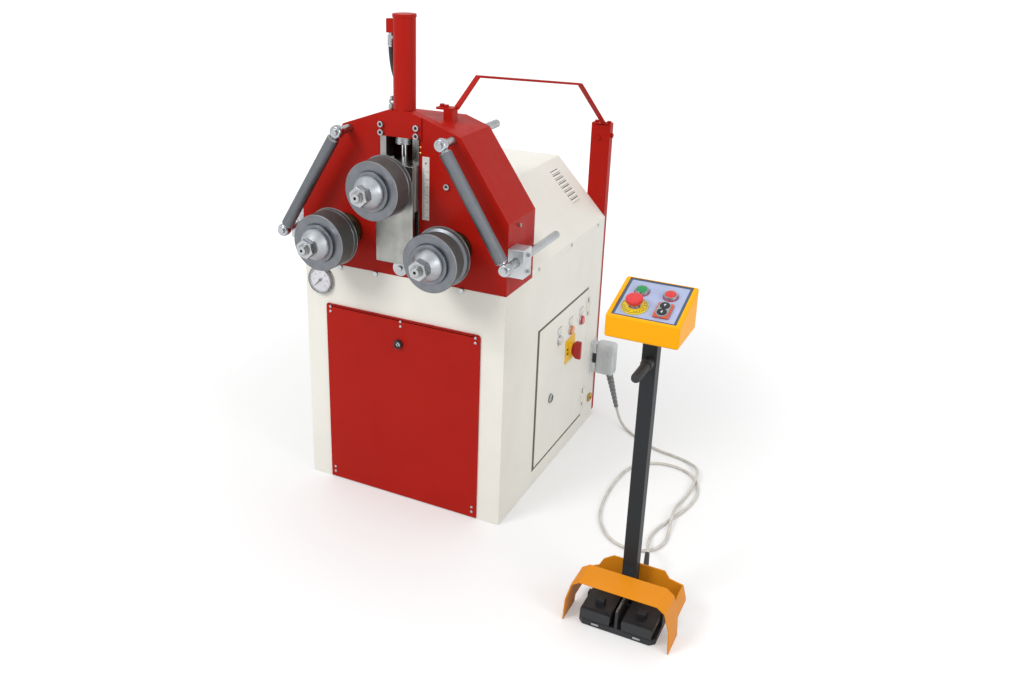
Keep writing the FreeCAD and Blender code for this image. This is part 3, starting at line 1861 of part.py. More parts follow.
def console():
    """Sheet console, its sloping panel and every button on it."""
    x = (console_left, console_left + dim.console_width)
    y = console_front
    z = dim.console_height
    wall = dim.console_wall
    outer = prism(
        "ConsoleBox",
        "YZ",
        [
            (y, z),
            (y + dim.console_depth, z),
            (y + dim.console_depth, z + dim.console_back_rise),
            (y, z + dim.console_front_rise),
        ],
        x[0],
        x[1],
    )
    inner = prism(
        "ConsoleInside",
        "YZ",
        [
            (y + wall, z + wall),
            (y + dim.console_depth - wall, z + wall),
            (y + dim.console_depth - wall, z + dim.console_back_rise - wall * 2 + panel_under),
            (y + wall, z + dim.console_front_rise - wall * 2 + panel_under),
        ],
        x[0] + wall,
        x[1] - wall,
    )
    recess = on_slope(
        box(
            "PanelRecess",
            (panel_left, panel_left + dim.console_panel_width),
            (panel_foot, panel_foot + dim.console_panel_length),
            (panel_under - wall * 3, dim.console_rim),
        )
    )
    node("console_box", cut(outer, inner, recess))

    plate = box(
        "ConsolePanel",
        (panel_left, panel_left + dim.console_panel_width),
        (panel_foot, panel_foot + dim.console_panel_length),
        (panel_under, panel_top),
    )
    stems = [
        cylinder(
            "ButtonHole",
            radius,
            dim.console_panel_thickness,
            (u, v, panel_under),
        )
        for u, v, radius in button_holes()
    ]
    node("console_panel", on_slope(cut(plate, *stems)))

    collars = []
    for u in (middle_u() - dim.button_offset, middle_u() + dim.button_offset):
        collars.append(
            ring(
                "ButtonCollar",
                dim.button_collar_radius,
                dim.button_radius + dim.button_gap,
                dim.button_collar_height,
                (u, dim.button_along, panel_top),
            )
        )
    stop_u = middle_u() - dim.stop_offset
    collars.append(
        ring(
            "StopDisc",
            dim.stop_disc_radius,
            dim.stop_neck_radius + dim.button_gap,
            dim.stop_disc_height,
            (stop_u, dim.stop_along, panel_top),
        )
    )
    key_u = middle_u() + dim.button_offset
    key_plate = box(
        "KeyPlate",
        span(key_u, dim.key_plate_width),
        span(dim.key_along, dim.key_plate_length),
        (panel_top, panel_top + dim.key_plate_height),
    )
    key_bores = [
        cylinder(
            "KeyBore",
            dim.key_radius + dim.button_gap,
            dim.key_plate_height,
            (key_u, dim.key_along + dim.key_step / 2 * end, panel_top),
        )
        for end in (-1, 1)
    ]
    collars.append(cut(key_plate, *key_bores))
    node("button_collars", on_slope(group(*collars)))

    round_cap = dim.button_collar_height + dim.button_proud
    for name, u in (
        ("green_button", middle_u() - dim.button_offset),
        ("red_button", middle_u() + dim.button_offset),
    ):
        node(name, on_slope(button(name.title(), dim.button_radius, round_cap, u, dim.button_along)))
    key_cap = dim.key_plate_height + dim.key_proud
    for name, end in (("up_button", 1), ("down_button", -1)):
        v = dim.key_along + dim.key_step / 2 * end
        node(name, on_slope(button(name.title(), dim.key_radius, key_cap, key_u, v)))
    neck_top = dim.stop_disc_height + dim.stop_neck_height
    head = dim.stop_head_radius
    mushroom = turned(
        "StopMushroom",
        [
            (0, -dim.button_stem),
            (dim.stop_neck_radius, -dim.button_stem),
            (dim.stop_neck_radius, neck_top),
            (head, neck_top),
            (head, neck_top + dim.stop_head_height * 0.6),
            (head * 0.8, neck_top + dim.stop_head_height * 0.9),
            (head * 0.45, neck_top + dim.stop_head_height),
            (0, neck_top + dim.stop_head_height),
        ],
        (stop_u, dim.stop_along, panel_top),
    )
    node("estop_button", on_slope(mushroom))


def middle_u():
    """Middle of the console across its width."""
    return dim.console_width / 2


def button_holes():
    """Centre and radius of each stem hole in the console panel."""
    left = middle_u() - dim.button_offset
    right = middle_u() + dim.button_offset
    key_low = dim.key_along - dim.key_step / 2
    key_high = dim.key_along + dim.key_step / 2
    stop = middle_u() - dim.stop_offset
    return [
        (left, dim.button_along, dim.button_radius + dim.button_gap),
        (right, dim.button_along, dim.button_radius + dim.button_gap),
        (right, key_low, dim.key_radius + dim.button_gap),
        (right, key_high, dim.key_radius + dim.button_gap),
        (stop, dim.stop_along, dim.stop_neck_radius + dim.button_gap),
    ]


def button(name, radius, height, u, v):
    """Push button: a stem through the panel and a cap with a rounded rim."""
    return turned(
        name.replace("_", ""),
        [
            (0, -dim.button_stem),
            (radius, -dim.button_stem),
            (radius, height - 1.5),
            (radius - 1.5, height),
            (0, height),
        ],
        (u, v, panel_top),
    )


def post():
    """Square tube post from the pedal's floor plate to the console, with its grip."""
    half = dim.post_width / 2
    y = (post_y - half, post_y + half)
    z = (pedal_floor, dim.console_height)
    grip_z = dim.console_height - dim.grip_drop
    outer = box("Post", (post_x - half, post_x + half), y, z)
    inner = box(
        "PostInside",
        (post_x - half + dim.post_wall, post_x + half - dim.post_wall),
        (y[0] + dim.post_wall, y[1] - dim.post_wall),
        z,
    )
    collar = cylinder(
        "GripCollar",
        dim.grip_collar_radius,
        dim.grip_collar_length,
        (post_x, y[0], grip_z),
        "-y",
    )
    grip = cylinder(
        "Grip", dim.grip_radius, dim.grip_reach, (post_x, y[0], grip_z), "-y"
    )
    node("post", fuse(cut(outer, inner), collar, grip))


# ---------------------------------------------------------------- foot pedal
def arch_outline(inset):
    """Arch of the pedal guard from floor tip to floor tip, drawn in by its sheet."""
    half = [
        (dim.guard_tip_width / 2 - inset, as_size(0)),
        (dim.guard_knee_width / 2 - inset, dim.guard_knee_height),
        (dim.guard_eave_width / 2 - inset, dim.guard_eave_height - inset / 2),
        (dim.guard_roof_width / 2 - inset / 2, dim.guard_height - inset),
    ]
    right = [(pedal_x + x, z) for x, z in half]
    left = [(pedal_x - x, z) for x, z in reversed(half)]
    return right + left


def pedal_guard():
    """Bent sheet guard: roof over the pedals, sides to the back plate, the right one higher."""
    roof_front = front - dim.guard_front
    roof_back = roof_front + dim.guard_roof_length
    plate_front = front - dim.pedal_plate_back
    arch = cut(
        prism("GuardArch", "XZ", arch_outline(as_size(0)), roof_front, roof_back),
        prism("GuardHollow", "XZ", arch_outline(dim.guard_sheet), roof_front, roof_back),
    )
    tip = dim.guard_tip_width / 2
    knee = dim.guard_knee_width / 2
    eave = dim.guard_eave_width / 2
    rise = dim.guard_brow_height - dim.guard_knee_height
    brow = knee + (eave - knee) * (rise / (dim.guard_eave_height - dim.guard_knee_height))
    hem = tip + (knee - tip) * (dim.guard_hem_height / dim.guard_knee_height)
    flank = tip + (knee - tip) * (dim.guard_flank_height / dim.guard_knee_height)
    low_side = [(hem, dim.guard_hem_height), (knee, dim.guard_knee_height)]
    high_side = [
        (flank, dim.guard_flank_height),
        (knee, dim.guard_knee_height),
        (brow, dim.guard_brow_height),
    ]
    walls = []
    for side, corners in ((-1, low_side), (1, high_side)):
        inside = [(x - dim.guard_sheet, z) for x, z in reversed(corners)]
        outline = [(pedal_x + x * side, z) for x, z in corners + inside]
        walls.append(prism("GuardWall", "XZ", outline, roof_back, plate_front))
    foot = dim.guard_back_foot_width / 2
    chamfer = dim.guard_back_chamfer
    top = dim.guard_back_height
    crest = [
        (dim.guard_crest_right + chamfer * 0.7, top - chamfer),
        (dim.guard_crest_right, top),
        (-dim.guard_crest_left, top),
        (-dim.guard_crest_left - chamfer * 1.4, top - chamfer),
        (-dim.guard_crest_left - chamfer * 2, top - chamfer * 2.2),
    ]
    left = [(-x, z) for x, z in reversed(low_side)]
    outline = [(-foot, 0), (foot, 0)] + high_side + crest + left
    plate = prism(
        "GuardBack",
        "XZ",
        [(pedal_x + x, z) for x, z in outline],
        plate_front,
        plate_front + dim.guard_back_thickness,
    )
    node("pedal_guard", fuse(arch, *walls, plate))


def pedals():
    """Floor plate with the divider and hinge lugs, the cord's gland, and the two pedals."""
    rear = front - dim.pedal_plate_back
    edge = dim.pedal_plate_width / 2
    corner = dim.pedal_plate_corner
    toe = front - dim.pedal_plate_front
    plate = prism(
        "PedalPlate",
        "XY",
        [
            (pedal_x - edge + corner, toe),
            (pedal_x + edge - corner, toe),
            (pedal_x + edge, toe + corner),
            (pedal_x + edge, rear),
            (pedal_x - edge, rear),
            (pedal_x - edge, toe + corner),
        ],
        0,
        pedal_floor,
    )
    divider = box(
        "PedalDivider",
        span(pedal_x, dim.pedal_divider_width),
        (toe, front - dim.pedal_hinge_setback + dim.pedal_pin_radius * 2),
        (pedal_floor, dim.pedal_divider_height),
    )
    hinge = (front - dim.pedal_hinge_setback, dim.pedal_hinge_height)
    pin = cylinder(
        "PedalPin",
        dim.pedal_pin_radius,
        dim.pedal_plate_width,
        (pedal_x - edge, hinge[0], hinge[1]),
        "+x",
    )
    lugs = []
    for side in (-1, 1):
        lug_width = (
            edge
            - dim.pedal_divider_width / 2
            - dim.pedal_gap
            - dim.pedal_width
            - dim.pedal_side_gap
        )
        lugs.append(
            box(
                "PedalLug",
                span(pedal_x + (edge - lug_width / 2) * side, lug_width),
                span(hinge[0], dim.pedal_pin_radius * 4),
                (pedal_floor, hinge[1] + dim.pedal_pin_radius * 2),
            )
        )
    boss = dim.cord_gland_radius
    gland_x = post_x + dim.cord_gland_offset
    end = Vector(*CORD_ROUTE[-1])
    guard_back = rear + dim.guard_back_thickness + dim.cord_gland_standoff
    root = Vector(gland_x.value, guard_back.value, dim.cord_gland_height.value)
    gland = doc.addObject("Part::Feature", "CordGland")
    gland.Shape = Part.makeCone(
        boss.value, dim.cord_gland_tip_radius.value, (end - root).Length, root, end - root
    )
    seat(gland, (0, 0, 0))
    node("pedal_base", group(fuse(plate, divider, pin, *lugs), gland))

    for name, side in (("left_pedal", -1), ("right_pedal", 1)):
        inner = dim.pedal_divider_width / 2 + dim.pedal_gap
        centre = pedal_x + (inner + dim.pedal_width / 2) * side
        x = span(centre, dim.pedal_width)
        plate_x = (x[0], x[1])
        tread = prism(
            name.title().replace("_", ""),
            "YZ",
            [
                (front - dim.pedal_front, dim.pedal_low),
                (hinge[0] + dim.pedal_pin_radius * 2, dim.pedal_low),
                (hinge[0] + dim.pedal_pin_radius * 2, dim.pedal_high),
                (front - dim.pedal_front, dim.pedal_high),
            ],
            plate_x[0],
            plate_x[1],
        )
        block_front = front - dim.pedal_front + dim.pedal_block_inset
        block = box(
            name + "Block",
            span(centre, dim.pedal_block_width),
            (block_front, block_front + dim.pedal_block_length),
            (dim.pedal_high, dim.pedal_high + dim.pedal_block_height),
        )
        bore = cylinder(
            name + "Bore",
            dim.pedal_pin_radius + dim.running_gap,
            dim.pedal_width,
            (x[0], hinge[0], hinge[1]),
            "+x",
        )
        node(name, cut(fuse(tread, block), bore))


# ---------------------------------------------------------------- inside the cabinet
def drive_and_hydraulics():
    """Gear motor on the deck, power pack on the base plate, and the switchgear plate."""
    gearbox_y = (
        front + dim.gearbox_front,
        front + dim.gearbox_front + dim.gearbox_length,
    )
    gearbox = box("Gearbox", both(dim.gearbox_width), gearbox_y, (deck, deck + dim.gearbox_height))
    motor = cylinder(
        "DriveMotor",
        dim.motor_radius,
        dim.motor_length,
        (0, gearbox_y[1], deck + dim.motor_radius),
        "+y",
    )
    node("gear_motor", fuse(gearbox, motor))

    tank_x = (-dim.tank_left, -dim.tank_left + dim.tank_width)
    tank_y = (front + dim.tank_front, front + dim.tank_front + dim.tank_depth)
    tank_z = (dim.base_thickness, dim.base_thickness + dim.tank_height)
    tank = box("OilTank", tank_x, tank_y, tank_z)
    pump_x = tank_x[0] + dim.pump_motor_radius * 1.4
    pump_y = tank_y[0] + dim.tank_depth / 2
    pump = cylinder(
        "PumpMotor", dim.pump_motor_radius, dim.pump_motor_height, (pump_x, pump_y, tank_z[1])
    )
    valves = box(
        "ValveBlock",
        (tank_x[1] - dim.valve_width * 1.2, tank_x[1] - dim.valve_width * 0.2),
        span(pump_y, dim.valve_depth),
        (tank_z[1], tank_z[1] + dim.valve_height),
    )
    node("power_pack", fuse(tank, pump, valves))

    plate_y = (door_front + dim.door_rim, door_back - dim.door_rim)
    plate_x = half_width - dim.switchgear_inset
    plate_face = plate_x + dim.switchgear_thickness
    foot = box(
        "SwitchgearFoot",
        (plate_x, plate_x + dim.contactor_depth / 2),
        plate_y,
        (dim.base_thickness, dim.base_thickness + dim.switchgear_thickness),
    )
    plate = box(
        "SwitchgearPlate",
        (plate_x, plate_face),
        plate_y,
        (dim.base_thickness, dim.switchgear_high),
    )
    contactors = []
    step = (plate_y[1] - plate_y[0]) / dim.contactor_count
    for i in range(SIZES["contactor_count"]):
        centre = plate_y[0] + step * (i + 0.5)
        contactors.append(
            box(
                "Contactor",
                (plate_face, plate_face + dim.contactor_depth),
                span(centre, dim.contactor_width),
                (dim.switchgear_low + dim.contactor_height, dim.switchgear_low + dim.contactor_height * 2),
            )
        )
    node("electrical_plate", fuse(foot, plate, *contactors))


# ---------------------------------------------------------------- frame bolts
def hex_bolt(at, along):
    """Hexagon bolt head standing on a face."""
    return hexagon("BoltHead", dim.bolt_flats, dim.bolt_head, at, along)


def cap_screw(at, along, radius, height):
    """Socket cap screw head standing on a face."""
    head = cylinder("CapHead", radius, height, at, along)
    depth = height / 2
    socket = hexagon("CapSocket", radius, height, at, along)
    lift = {"-y": (0, -1, 0), "+x": (1, 0, 0), "-x": (-1, 0, 0)}[along]
    deep = tuple(as_size(a) + depth * b for a, b in zip(at, lift))
    seat(socket, deep, TURNS[along])
    return cut(head, socket)


def frame_bolts():
    """Bolts of the head, the bridge plate, the clamps, the mast and the lifting bow."""
    parts = []
    for x in (-dim.deck_bolt_left, -dim.deck_bolt_middle, dim.deck_bolt_right):
        parts.append(hex_bolt((x, front, deck - dim.deck_thickness / 2), "-y"))
    washer = cylinder(
        "FootWasher",
        dim.washer_radius,
        dim.washer_thickness,
        (0, front, slot_foot - dim.washer_radius - 1),
        "-y",
    )
    stud = hex_bolt((0, front - dim.washer_thickness, slot_foot - dim.washer_radius - 1), "-y")
    parts += [washer, stud]
    for side in (-1, 1):
        for drop in (dim.bridge_screw_high, dim.bridge_screw_low):
            at = (dim.bridge_screw_offset * side, front - dim.bridge_thickness, peak_z - drop)
            parts.append(cap_screw(at, "-y", dim.face_screw_radius, dim.face_screw_head))
    for side, along in ((-1, "-x"), (1, "+x")):
        for z in (-dim.clamp_screw_low, dim.clamp_screw_high):
            at = (
                (half_width + dim.clamp_width) * side,
                front + dim.clamp_depth / 2,
                lower_guide_z + z,
            )
            parts.append(cap_screw(at, along, dim.cap_screw_radius, dim.cap_screw_head))
        side_screw_z = lower_guide_z + dim.side_screw_rise
        at = (half_width * side, front + dim.side_screw_setback, side_screw_z)
        parts.append(cap_screw(at, along, dim.cap_screw_radius, dim.cap_screw_head))
    for side in (1, -1):
        at = (dim.face_screw_offset * side, front, deck + dim.face_screw_rise)
        parts.append(cap_screw(at, "-y", dim.face_screw_radius, dim.cap_screw_head))
    bow_top = deck + dim.bow_foot_rise + dim.bow_plate
    bow_x = dim.bow_pad_left + dim.bow_bolt_inset
    bow_y = front + dim.bow_pad_front
    for x, y in (
        (bow_x, bow_y + dim.bow_bolt_back),
        (bow_x + dim.bow_bolt_step, bow_y + dim.bow_bolt_front),
    ):
        parts.append(hex_bolt((x, y, bow_top), "+z"))
    mast_top = mast_high + dim.bow_plate
    parts.append(hex_bolt((mast_x(0.2), back + dim.mast_thickness / 2, mast_top), "+z"))
    parts.append(hex_bolt((mast_x(0.85), back + dim.mast_thickness / 2, mast_top), "+z"))
    parts.append(hex_bolt((mast_x(0.4), back, mast_high - dim.mast_bolt_drop), "-y"))
    side_bolt_z = mast_high - dim.mast_side_bolt_drop
    parts.append(hex_bolt((mast_x(1), back + dim.mast_thickness / 2, side_bolt_z), "+x"))
    node("frame_bolts", group(*parts))


def mast_x(share):
    """Place across the mast, from its left face to its right one."""
    return dim.mast_offset + dim.mast_width * (share - 0.5)


# ---------------------------------------------------------------- build, check and write
def build_all():
    """Make every sub-part."""
    cabinet()
    hood()
    head()
    bushes()
    slide()
    rolls()
    hydraulic_cylinder()
    gauge()
    guides()
    mast_and_bow()
    side_door()
    door_furniture()
    connector()
    control_cord()
    console()
    post()
    pedal_guard()
    pedals()
    drive_and_hydraulics()
    frame_bolts()
    cover_screws()


def check_all():
    """Stop if any object failed to recompute or any sub-part has no valid shape."""
    for item in doc.Objects:
        if "Invalid" in item.State or "Error" in item.State:
            raise RuntimeError(f"{item.Label}: {item.State}")
    for item in nodes:
        if item.Shape.isNull() or not item.Shape.isValid():
            raise RuntimeError(f"{item.Label}: no valid shape")


def write_all():
    """Write each sub-part to its own STEP file."""
    os.makedirs("parts", exist_ok=True)
    for item in nodes:
        item.Shape.exportStep(f"parts/{item.Label}.step")
        print(f"{item.Label}: {len(item.Shape.Solids)} solids, {item.Shape.Volume / 1000:.1f} cm3")


build_all()
doc.recompute()
check_all()
write_all()
print(f"{len(nodes)} sub-parts")
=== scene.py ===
"""Looks of a three-roll ring roller and its foot pedal console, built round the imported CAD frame.

Sizes are in millimetres in the frame's own axes: +X to the operator's right, +Y away from the
operator, +Z up, origin on the floor under the cabinet. A finished piece is scaled to metres.
"""

import sys
import json
import logging
import math
from dataclasses import dataclass
from enum import Enum
from typing import Callable, Iterable, Optional, Sequence

import bmesh
import bpy
from mathutils import Matrix, Vector

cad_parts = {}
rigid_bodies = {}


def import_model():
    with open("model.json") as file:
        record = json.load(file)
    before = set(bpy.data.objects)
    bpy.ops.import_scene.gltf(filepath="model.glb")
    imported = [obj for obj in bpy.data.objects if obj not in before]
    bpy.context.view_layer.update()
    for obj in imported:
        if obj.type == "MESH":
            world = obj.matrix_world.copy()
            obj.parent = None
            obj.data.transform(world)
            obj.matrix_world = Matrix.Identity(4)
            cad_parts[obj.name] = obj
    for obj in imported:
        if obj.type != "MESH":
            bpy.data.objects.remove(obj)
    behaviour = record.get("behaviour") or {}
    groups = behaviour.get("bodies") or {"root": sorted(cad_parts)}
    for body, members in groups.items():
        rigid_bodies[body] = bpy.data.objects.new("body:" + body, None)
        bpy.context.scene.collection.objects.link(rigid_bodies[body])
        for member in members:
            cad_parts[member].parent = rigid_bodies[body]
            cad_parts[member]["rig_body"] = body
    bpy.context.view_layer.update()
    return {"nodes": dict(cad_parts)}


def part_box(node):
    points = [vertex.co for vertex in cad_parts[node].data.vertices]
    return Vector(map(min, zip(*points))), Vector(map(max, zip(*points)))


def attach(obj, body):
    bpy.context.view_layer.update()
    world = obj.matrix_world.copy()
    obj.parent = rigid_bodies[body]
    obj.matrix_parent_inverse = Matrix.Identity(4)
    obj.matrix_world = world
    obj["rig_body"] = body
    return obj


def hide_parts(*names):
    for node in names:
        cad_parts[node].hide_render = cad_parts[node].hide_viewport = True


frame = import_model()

MM = 0.001
WELD = 1e-4
CAD_WELD = 0.004
CAD_FLAT_ANGLE = 0.5
SHARP_ANGLE = 32
CROWN_SHARE = 0.96
CROWN_SLOPE = 0.55
WAVE_RATE = 20
NOISE_RANGE = (0.3, 0.7)
RANGE_ENDS = ("From Min", "From Max", "To Min", "To Max")
LOG = logging.getLogger("ring_roller")

Point = tuple[float, float, float]
Pair = tuple[float, float]
Profile = Sequence[Pair]
Colour = tuple[int, int, int]
Socket = bpy.types.NodeSocket


# ---------------------------------------------------------------- finishes
def linear(colour: Colour, share: float) -> tuple[float, float, float, float]:
    """Turns a screen colour into the linear one that a shader takes.

    Args:
        colour: Red, green and blue from 0 to 255.
        share: Brightness to multiply the linear colour by.

    Returns:
        Linear red, green, blue and an alpha of 1.
    """
    parts = []
    for value in colour:
        tone = value / 255
        flat = tone / 12.92 if tone <= 0.04045 else ((tone + 0.055) / 1.055) ** 2.4
        parts.append(min(1.0, flat * share))
    return parts[0], parts[1], parts[2], 1.0


class Graph:
    """Short-hand for a node tree."""

    def __init__(self, tree: bpy.types.NodeTree) -> None:
        """Works on a tree."""
        self.tree = tree

    def join(self, node: bpy.types.Node, inputs: dict) -> None:
        """Sets or links a node's inputs.

        Args:
            node: The node.
            inputs: Plain values or sockets, by the input's name or number.
        """
        for key, value in inputs.items():
            if isinstance(value, Socket):
                self.tree.links.new(value, node.inputs[key])
            else:
                node.inputs[key].default_value = value

    def node(self, kind: str, inputs: Optional[dict] = None, **values: object) -> bpy.types.Node:
        """Adds a node.

        Args:
            kind: Its type, without the word ShaderNode.
            inputs: What its inputs take, as in join.
            **values: Its plain properties.

        Returns:
            The node.
        """
        made = self.tree.nodes.new(f"ShaderNode{kind}")
        for key, value in values.items():
            setattr(made, key, value)
        self.join(made, inputs or {})
        return made

    def backdrop_rays(self) -> Socket:
        """Tells the rays that see the backdrop: camera, glossy and transmission rays.

        Returns:
            The socket with their sum, held to 1.
        """
        path = self.node("LightPath")
        total = path.outputs["Is Camera Ray"]
        for name in ("Is Glossy Ray", "Is Transmission Ray"):
            both = {0: total, 1: path.outputs[name]}
            total = self.node("Math", both, operation="ADD", use_clamp=True).outputs[0]
        return total


class Recipe(Graph):
    """Node tree of one material."""

    def __init__(self, name: str) -> None:
        """Starts a material with a Principled shader on its output.

        Args:
            name: Name of the material.
        """
        self.material = bpy.data.materials.new(name)
        self.material.use_nodes = True
        super().__init__(self.material.node_tree)
        self.tree.nodes.clear()
        self.shader = self.node("BsdfPrincipled")
        self.node("OutputMaterial", {"Surface": self.shader.outputs[0]})

    def feed(self, **inputs: object) -> None:
        """Sets or links sockets of the shader by name, with _ for a space."""
        self.join(self.shader, {name.replace("_", " "): what for name, what in inputs.items()})

    def place(
        self,
        stretch: Point = (1, 1, 1),
        centre: Point = (0, 0, 0),
        turn: float = 0,
        source: str = "Object",
    ) -> Socket:
        """Gives a texture coordinate, moved to a centre, turned and stretched.

        Args:
            stretch: Scale along the three axes after the move.
            centre: Point in millimetres that becomes the pattern's origin.
            turn: Turn in degrees about the third axis.
            source: Output of the Texture Coordinate node.

        Returns:
            The vector socket for a texture.
        """
        coordinate = self.node("TexCoord").outputs[source]
        back = [-value * MM for value in centre]
        centred = self.node("Mapping", {"Location": back, "Vector": coordinate}).outputs[0]
        inputs = {"Rotation": (0, 0, math.radians(turn)), "Scale": stretch, "Vector": centred}
        return self.node("Mapping", inputs).outputs[0]

    def noise(self, vector: Socket, scale: float, detail: float, rough: float) -> Socket:
        """Adds a noise texture and gives its factor."""
        inputs = {"Vector": vector, "Scale": scale, "Detail": detail, "Roughness": rough}
        return self.node("TexNoise", inputs).outputs[0]

    def rings(self, vector: Socket, pitch: float, axis: str) -> Socket:
        """Adds turning marks round an axis, a pitch apart, and gives their factor."""
        scale = math.tau / (WAVE_RATE * pitch * MM)
        inputs = {"Vector": vector, "Scale": scale, "Distortion": 1.5, "Detail": 1.0}
        return self.node("TexWave", inputs, wave_type="RINGS", rings_direction=axis).outputs["Fac"]

    def spread(self, factor: Socket, low: float, high: float) -> Socket:
        """Maps a factor about its middle onto a range."""
        ends = dict(zip(RANGE_ENDS, (*NOISE_RANGE, low, high)))
        return self.node("MapRange", {"Value": factor, **ends}, clamp=True).outputs[0]

    def shade(self, factor: Socket, colour: Colour, low: float, high: float) -> None:
        """Feeds the base colour, darker and brighter by a factor.

        Args:
            factor: Pattern of the clouds.
            colour: Screen colour of the finish.
            low: Share of the colour's brightness where the factor is low.
            high: The same where the factor is high.
        """
        ends = {0: self.spread(factor, 0, 1), 6: linear(colour, low), 7: linear(colour, high)}
        self.feed(Base_Color=self.node("Mix", ends, data_type="RGBA").outputs[2])

    def dull(self, factor: Socket, middle: float, less: float, more: float) -> None:
        """Feeds the roughness, from a little less than a middle to a little more."""
        self.feed(Roughness=self.spread(factor, middle - less, middle + more))

    def relief(self, height: Socket, strength: float, depth: float) -> None:
        """Adds a bump to the shader, over any bump before it.

        Args:
            height: Pattern of the bump.
            strength: Share of it that counts.
            depth: Depth in millimetres.
        """
        inputs = {"Strength": strength, "Distance": depth * MM, "Height": height}
        before = self.shader.inputs["Normal"].links
        if before:
            inputs["Normal"] = before[0].from_socket
        self.feed(Normal=self.node("Bump", inputs).outputs[0])


@dataclass(frozen=True)
class Finish:
    """A named finish, made once and shared by every piece that wears it."""

    name: str
    colour: Colour
    roughness: float

    def material(self) -> bpy.types.Material:
        """Gives the finish's material, made on first use.

        Returns:
            The material.
        """
        found = bpy.data.materials.get(self.name)
        if found is None:
            recipe = Recipe(self.name)
            self.dress(recipe)
            found = recipe.material
        return found

    def dress(self, recipe: Recipe) -> None:
        """Builds the node tree; each kind of finish has its own."""
        raise NotImplementedError


@dataclass(frozen=True)
class Paint(Finish):
    """Sprayed enamel: slight clouds in the colour, orange peel, and a clear gloss."""

    peel: float = 0.05
    gloss: float = 0.22

    def dress(self, recipe: Recipe) -> None:
        """Builds the node tree of the enamel.

        Args:
            recipe: The material under construction.
        """
        at = recipe.place()
        recipe.shade(recipe.noise(at, 5, 4, 0.6), self.colour, 0.93, 1)
        smears = recipe.noise(recipe.place((1, 1, 0.3)), 22, 3, 0.6)
        recipe.dull(smears, self.roughness, 0.04, 0.07)
        recipe.feed(Coat_Weight=0.05, Coat_Roughness=0.2, Specular_IOR_Level=self.gloss)
        recipe.relief(recipe.noise(at, 420, 1, 0.4), self.peel, 0.5)
        recipe.relief(recipe.noise(at, 40, 2, 0.5), self.peel * 0.6, 1.5)


class Grain(Enum):
    """Ways that a metal surface is worked."""

    TURNED = "turned"
    GROUND = "ground"
    PLATED = "plated"
    CAST = "cast"
    POLISHED = "polished"


@dataclass(frozen=True)
class Metal(Finish):
    """Bare or plated metal with the marks of its working."""

    grain: Grain = Grain.PLATED
    centre: Point = (0, 0, 0)
    stretch: Point = (1, 1, 1)
    purity: float = 1.0

    def dress(self, recipe: Recipe) -> None:
        """Builds the node tree of the metal.

        Args:
            recipe: The material under construction.
        """
        recipe.feed(Metallic=self.purity)
        at = recipe.place(centre=self.centre)
        recipe.shade(recipe.noise(at, 30, 4, 0.6), self.colour, 0.82, 1.08)
        marks = recipe.noise(recipe.place(self.stretch, self.centre), 60, 3, 0.7)
        if self.grain is Grain.TURNED:
            marks = recipe.rings(at, 0.9, "Y")
            recipe.relief(marks, 0.25, 0.05)
        elif self.grain is Grain.GROUND:
            recipe.relief(marks, 0.12, 0.15)
        elif self.grain is Grain.CAST:
            recipe.relief(recipe.noise(at, 300, 2, 0.6), 0.35, 0.4)
        elif self.grain is Grain.PLATED:
            recipe.relief(recipe.noise(at, 180, 2, 0.5), 0.06, 0.2)
        swing = 0.03 if self.grain is Grain.POLISHED else 0.1
        recipe.dull(marks, self.roughness, swing, swing)


@dataclass(frozen=True)
class Knurl(Finish):
    """Rolled steel tube with a crossed knurl, on the piece's own UV map in millimetres, its colour
    painted darker in the grooves as shade and brighter on the crests as highlight.
    """

    pitch: float = 2.4
    slant: float = 40

    def dress(self, recipe: Recipe) -> None:
        """Builds the node tree of the knurl.

        Args:
            recipe: The material under construction.
        """
        waves = {}
        for index, turn in enumerate((self.slant, -self.slant)):
            at = recipe.place(turn=turn, source="UV")
            inputs = {"Scale": math.tau / (WAVE_RATE * self.pitch), "Vector": at}
            waves[index] = recipe.node("TexWave", inputs, bands_direction="X").outputs["Fac"]
        peaks = recipe.node("Math", waves, operation="MINIMUM").outputs[0]
        clouds = recipe.noise(recipe.place(), 45, 4, 0.7)
        # Painted shade and highlight: the colour darkens in the knurl's grooves and brightens on
        # its crests, mixed with clouds.
        both = recipe.node("Math", {0: peaks, 1: clouds}, operation="MULTIPLY").outputs[0]
        recipe.shade(both, self.colour, 0.55, 1.3)
        recipe.dull(clouds, self.roughness, 0.08, 0.1)
        recipe.feed(Metallic=1.0)
        recipe.relief(peaks, 0.6, 0.5)


@dataclass(frozen=True)
class Plastic(Finish):
    """Moulded plastic or rubber with a fine skin and slightly uneven gloss."""

    skin: float = 0.05
    grain_scale: float = 700

    def dress(self, recipe: Recipe) -> None:
        """Builds the node tree of the plastic.

        Args:
            recipe: The material under construction.
        """
        at = recipe.place()
        clouds = recipe.noise(at, 18, 3, 0.6)
        recipe.shade(clouds, self.colour, 0.88, 1.05)
        recipe.dull(clouds, self.roughness, 0.06, 0.08)
        recipe.relief(recipe.noise(at, self.grain_scale, 2, 0.6), self.skin, 0.3)


@dataclass(frozen=True)
class Sheath(Finish):
    """Grey cord sheath, faintly mottled and ribbed by the cores inside."""

    def dress(self, recipe: Recipe) -> None:
        """Builds the node tree of the sheath.

        Args:
            recipe: The material under construction.
        """
        at = recipe.place()
        mottle = recipe.noise(at, 35, 4, 0.65)
        recipe.shade(mottle, self.colour, 0.8, 1.08)
        recipe.dull(mottle, self.roughness, 0.08, 0.08)
        recipe.feed(Coat_Weight=0.1)
        recipe.relief(recipe.noise(at, 260, 2, 0.5), 0.2, 0.3)


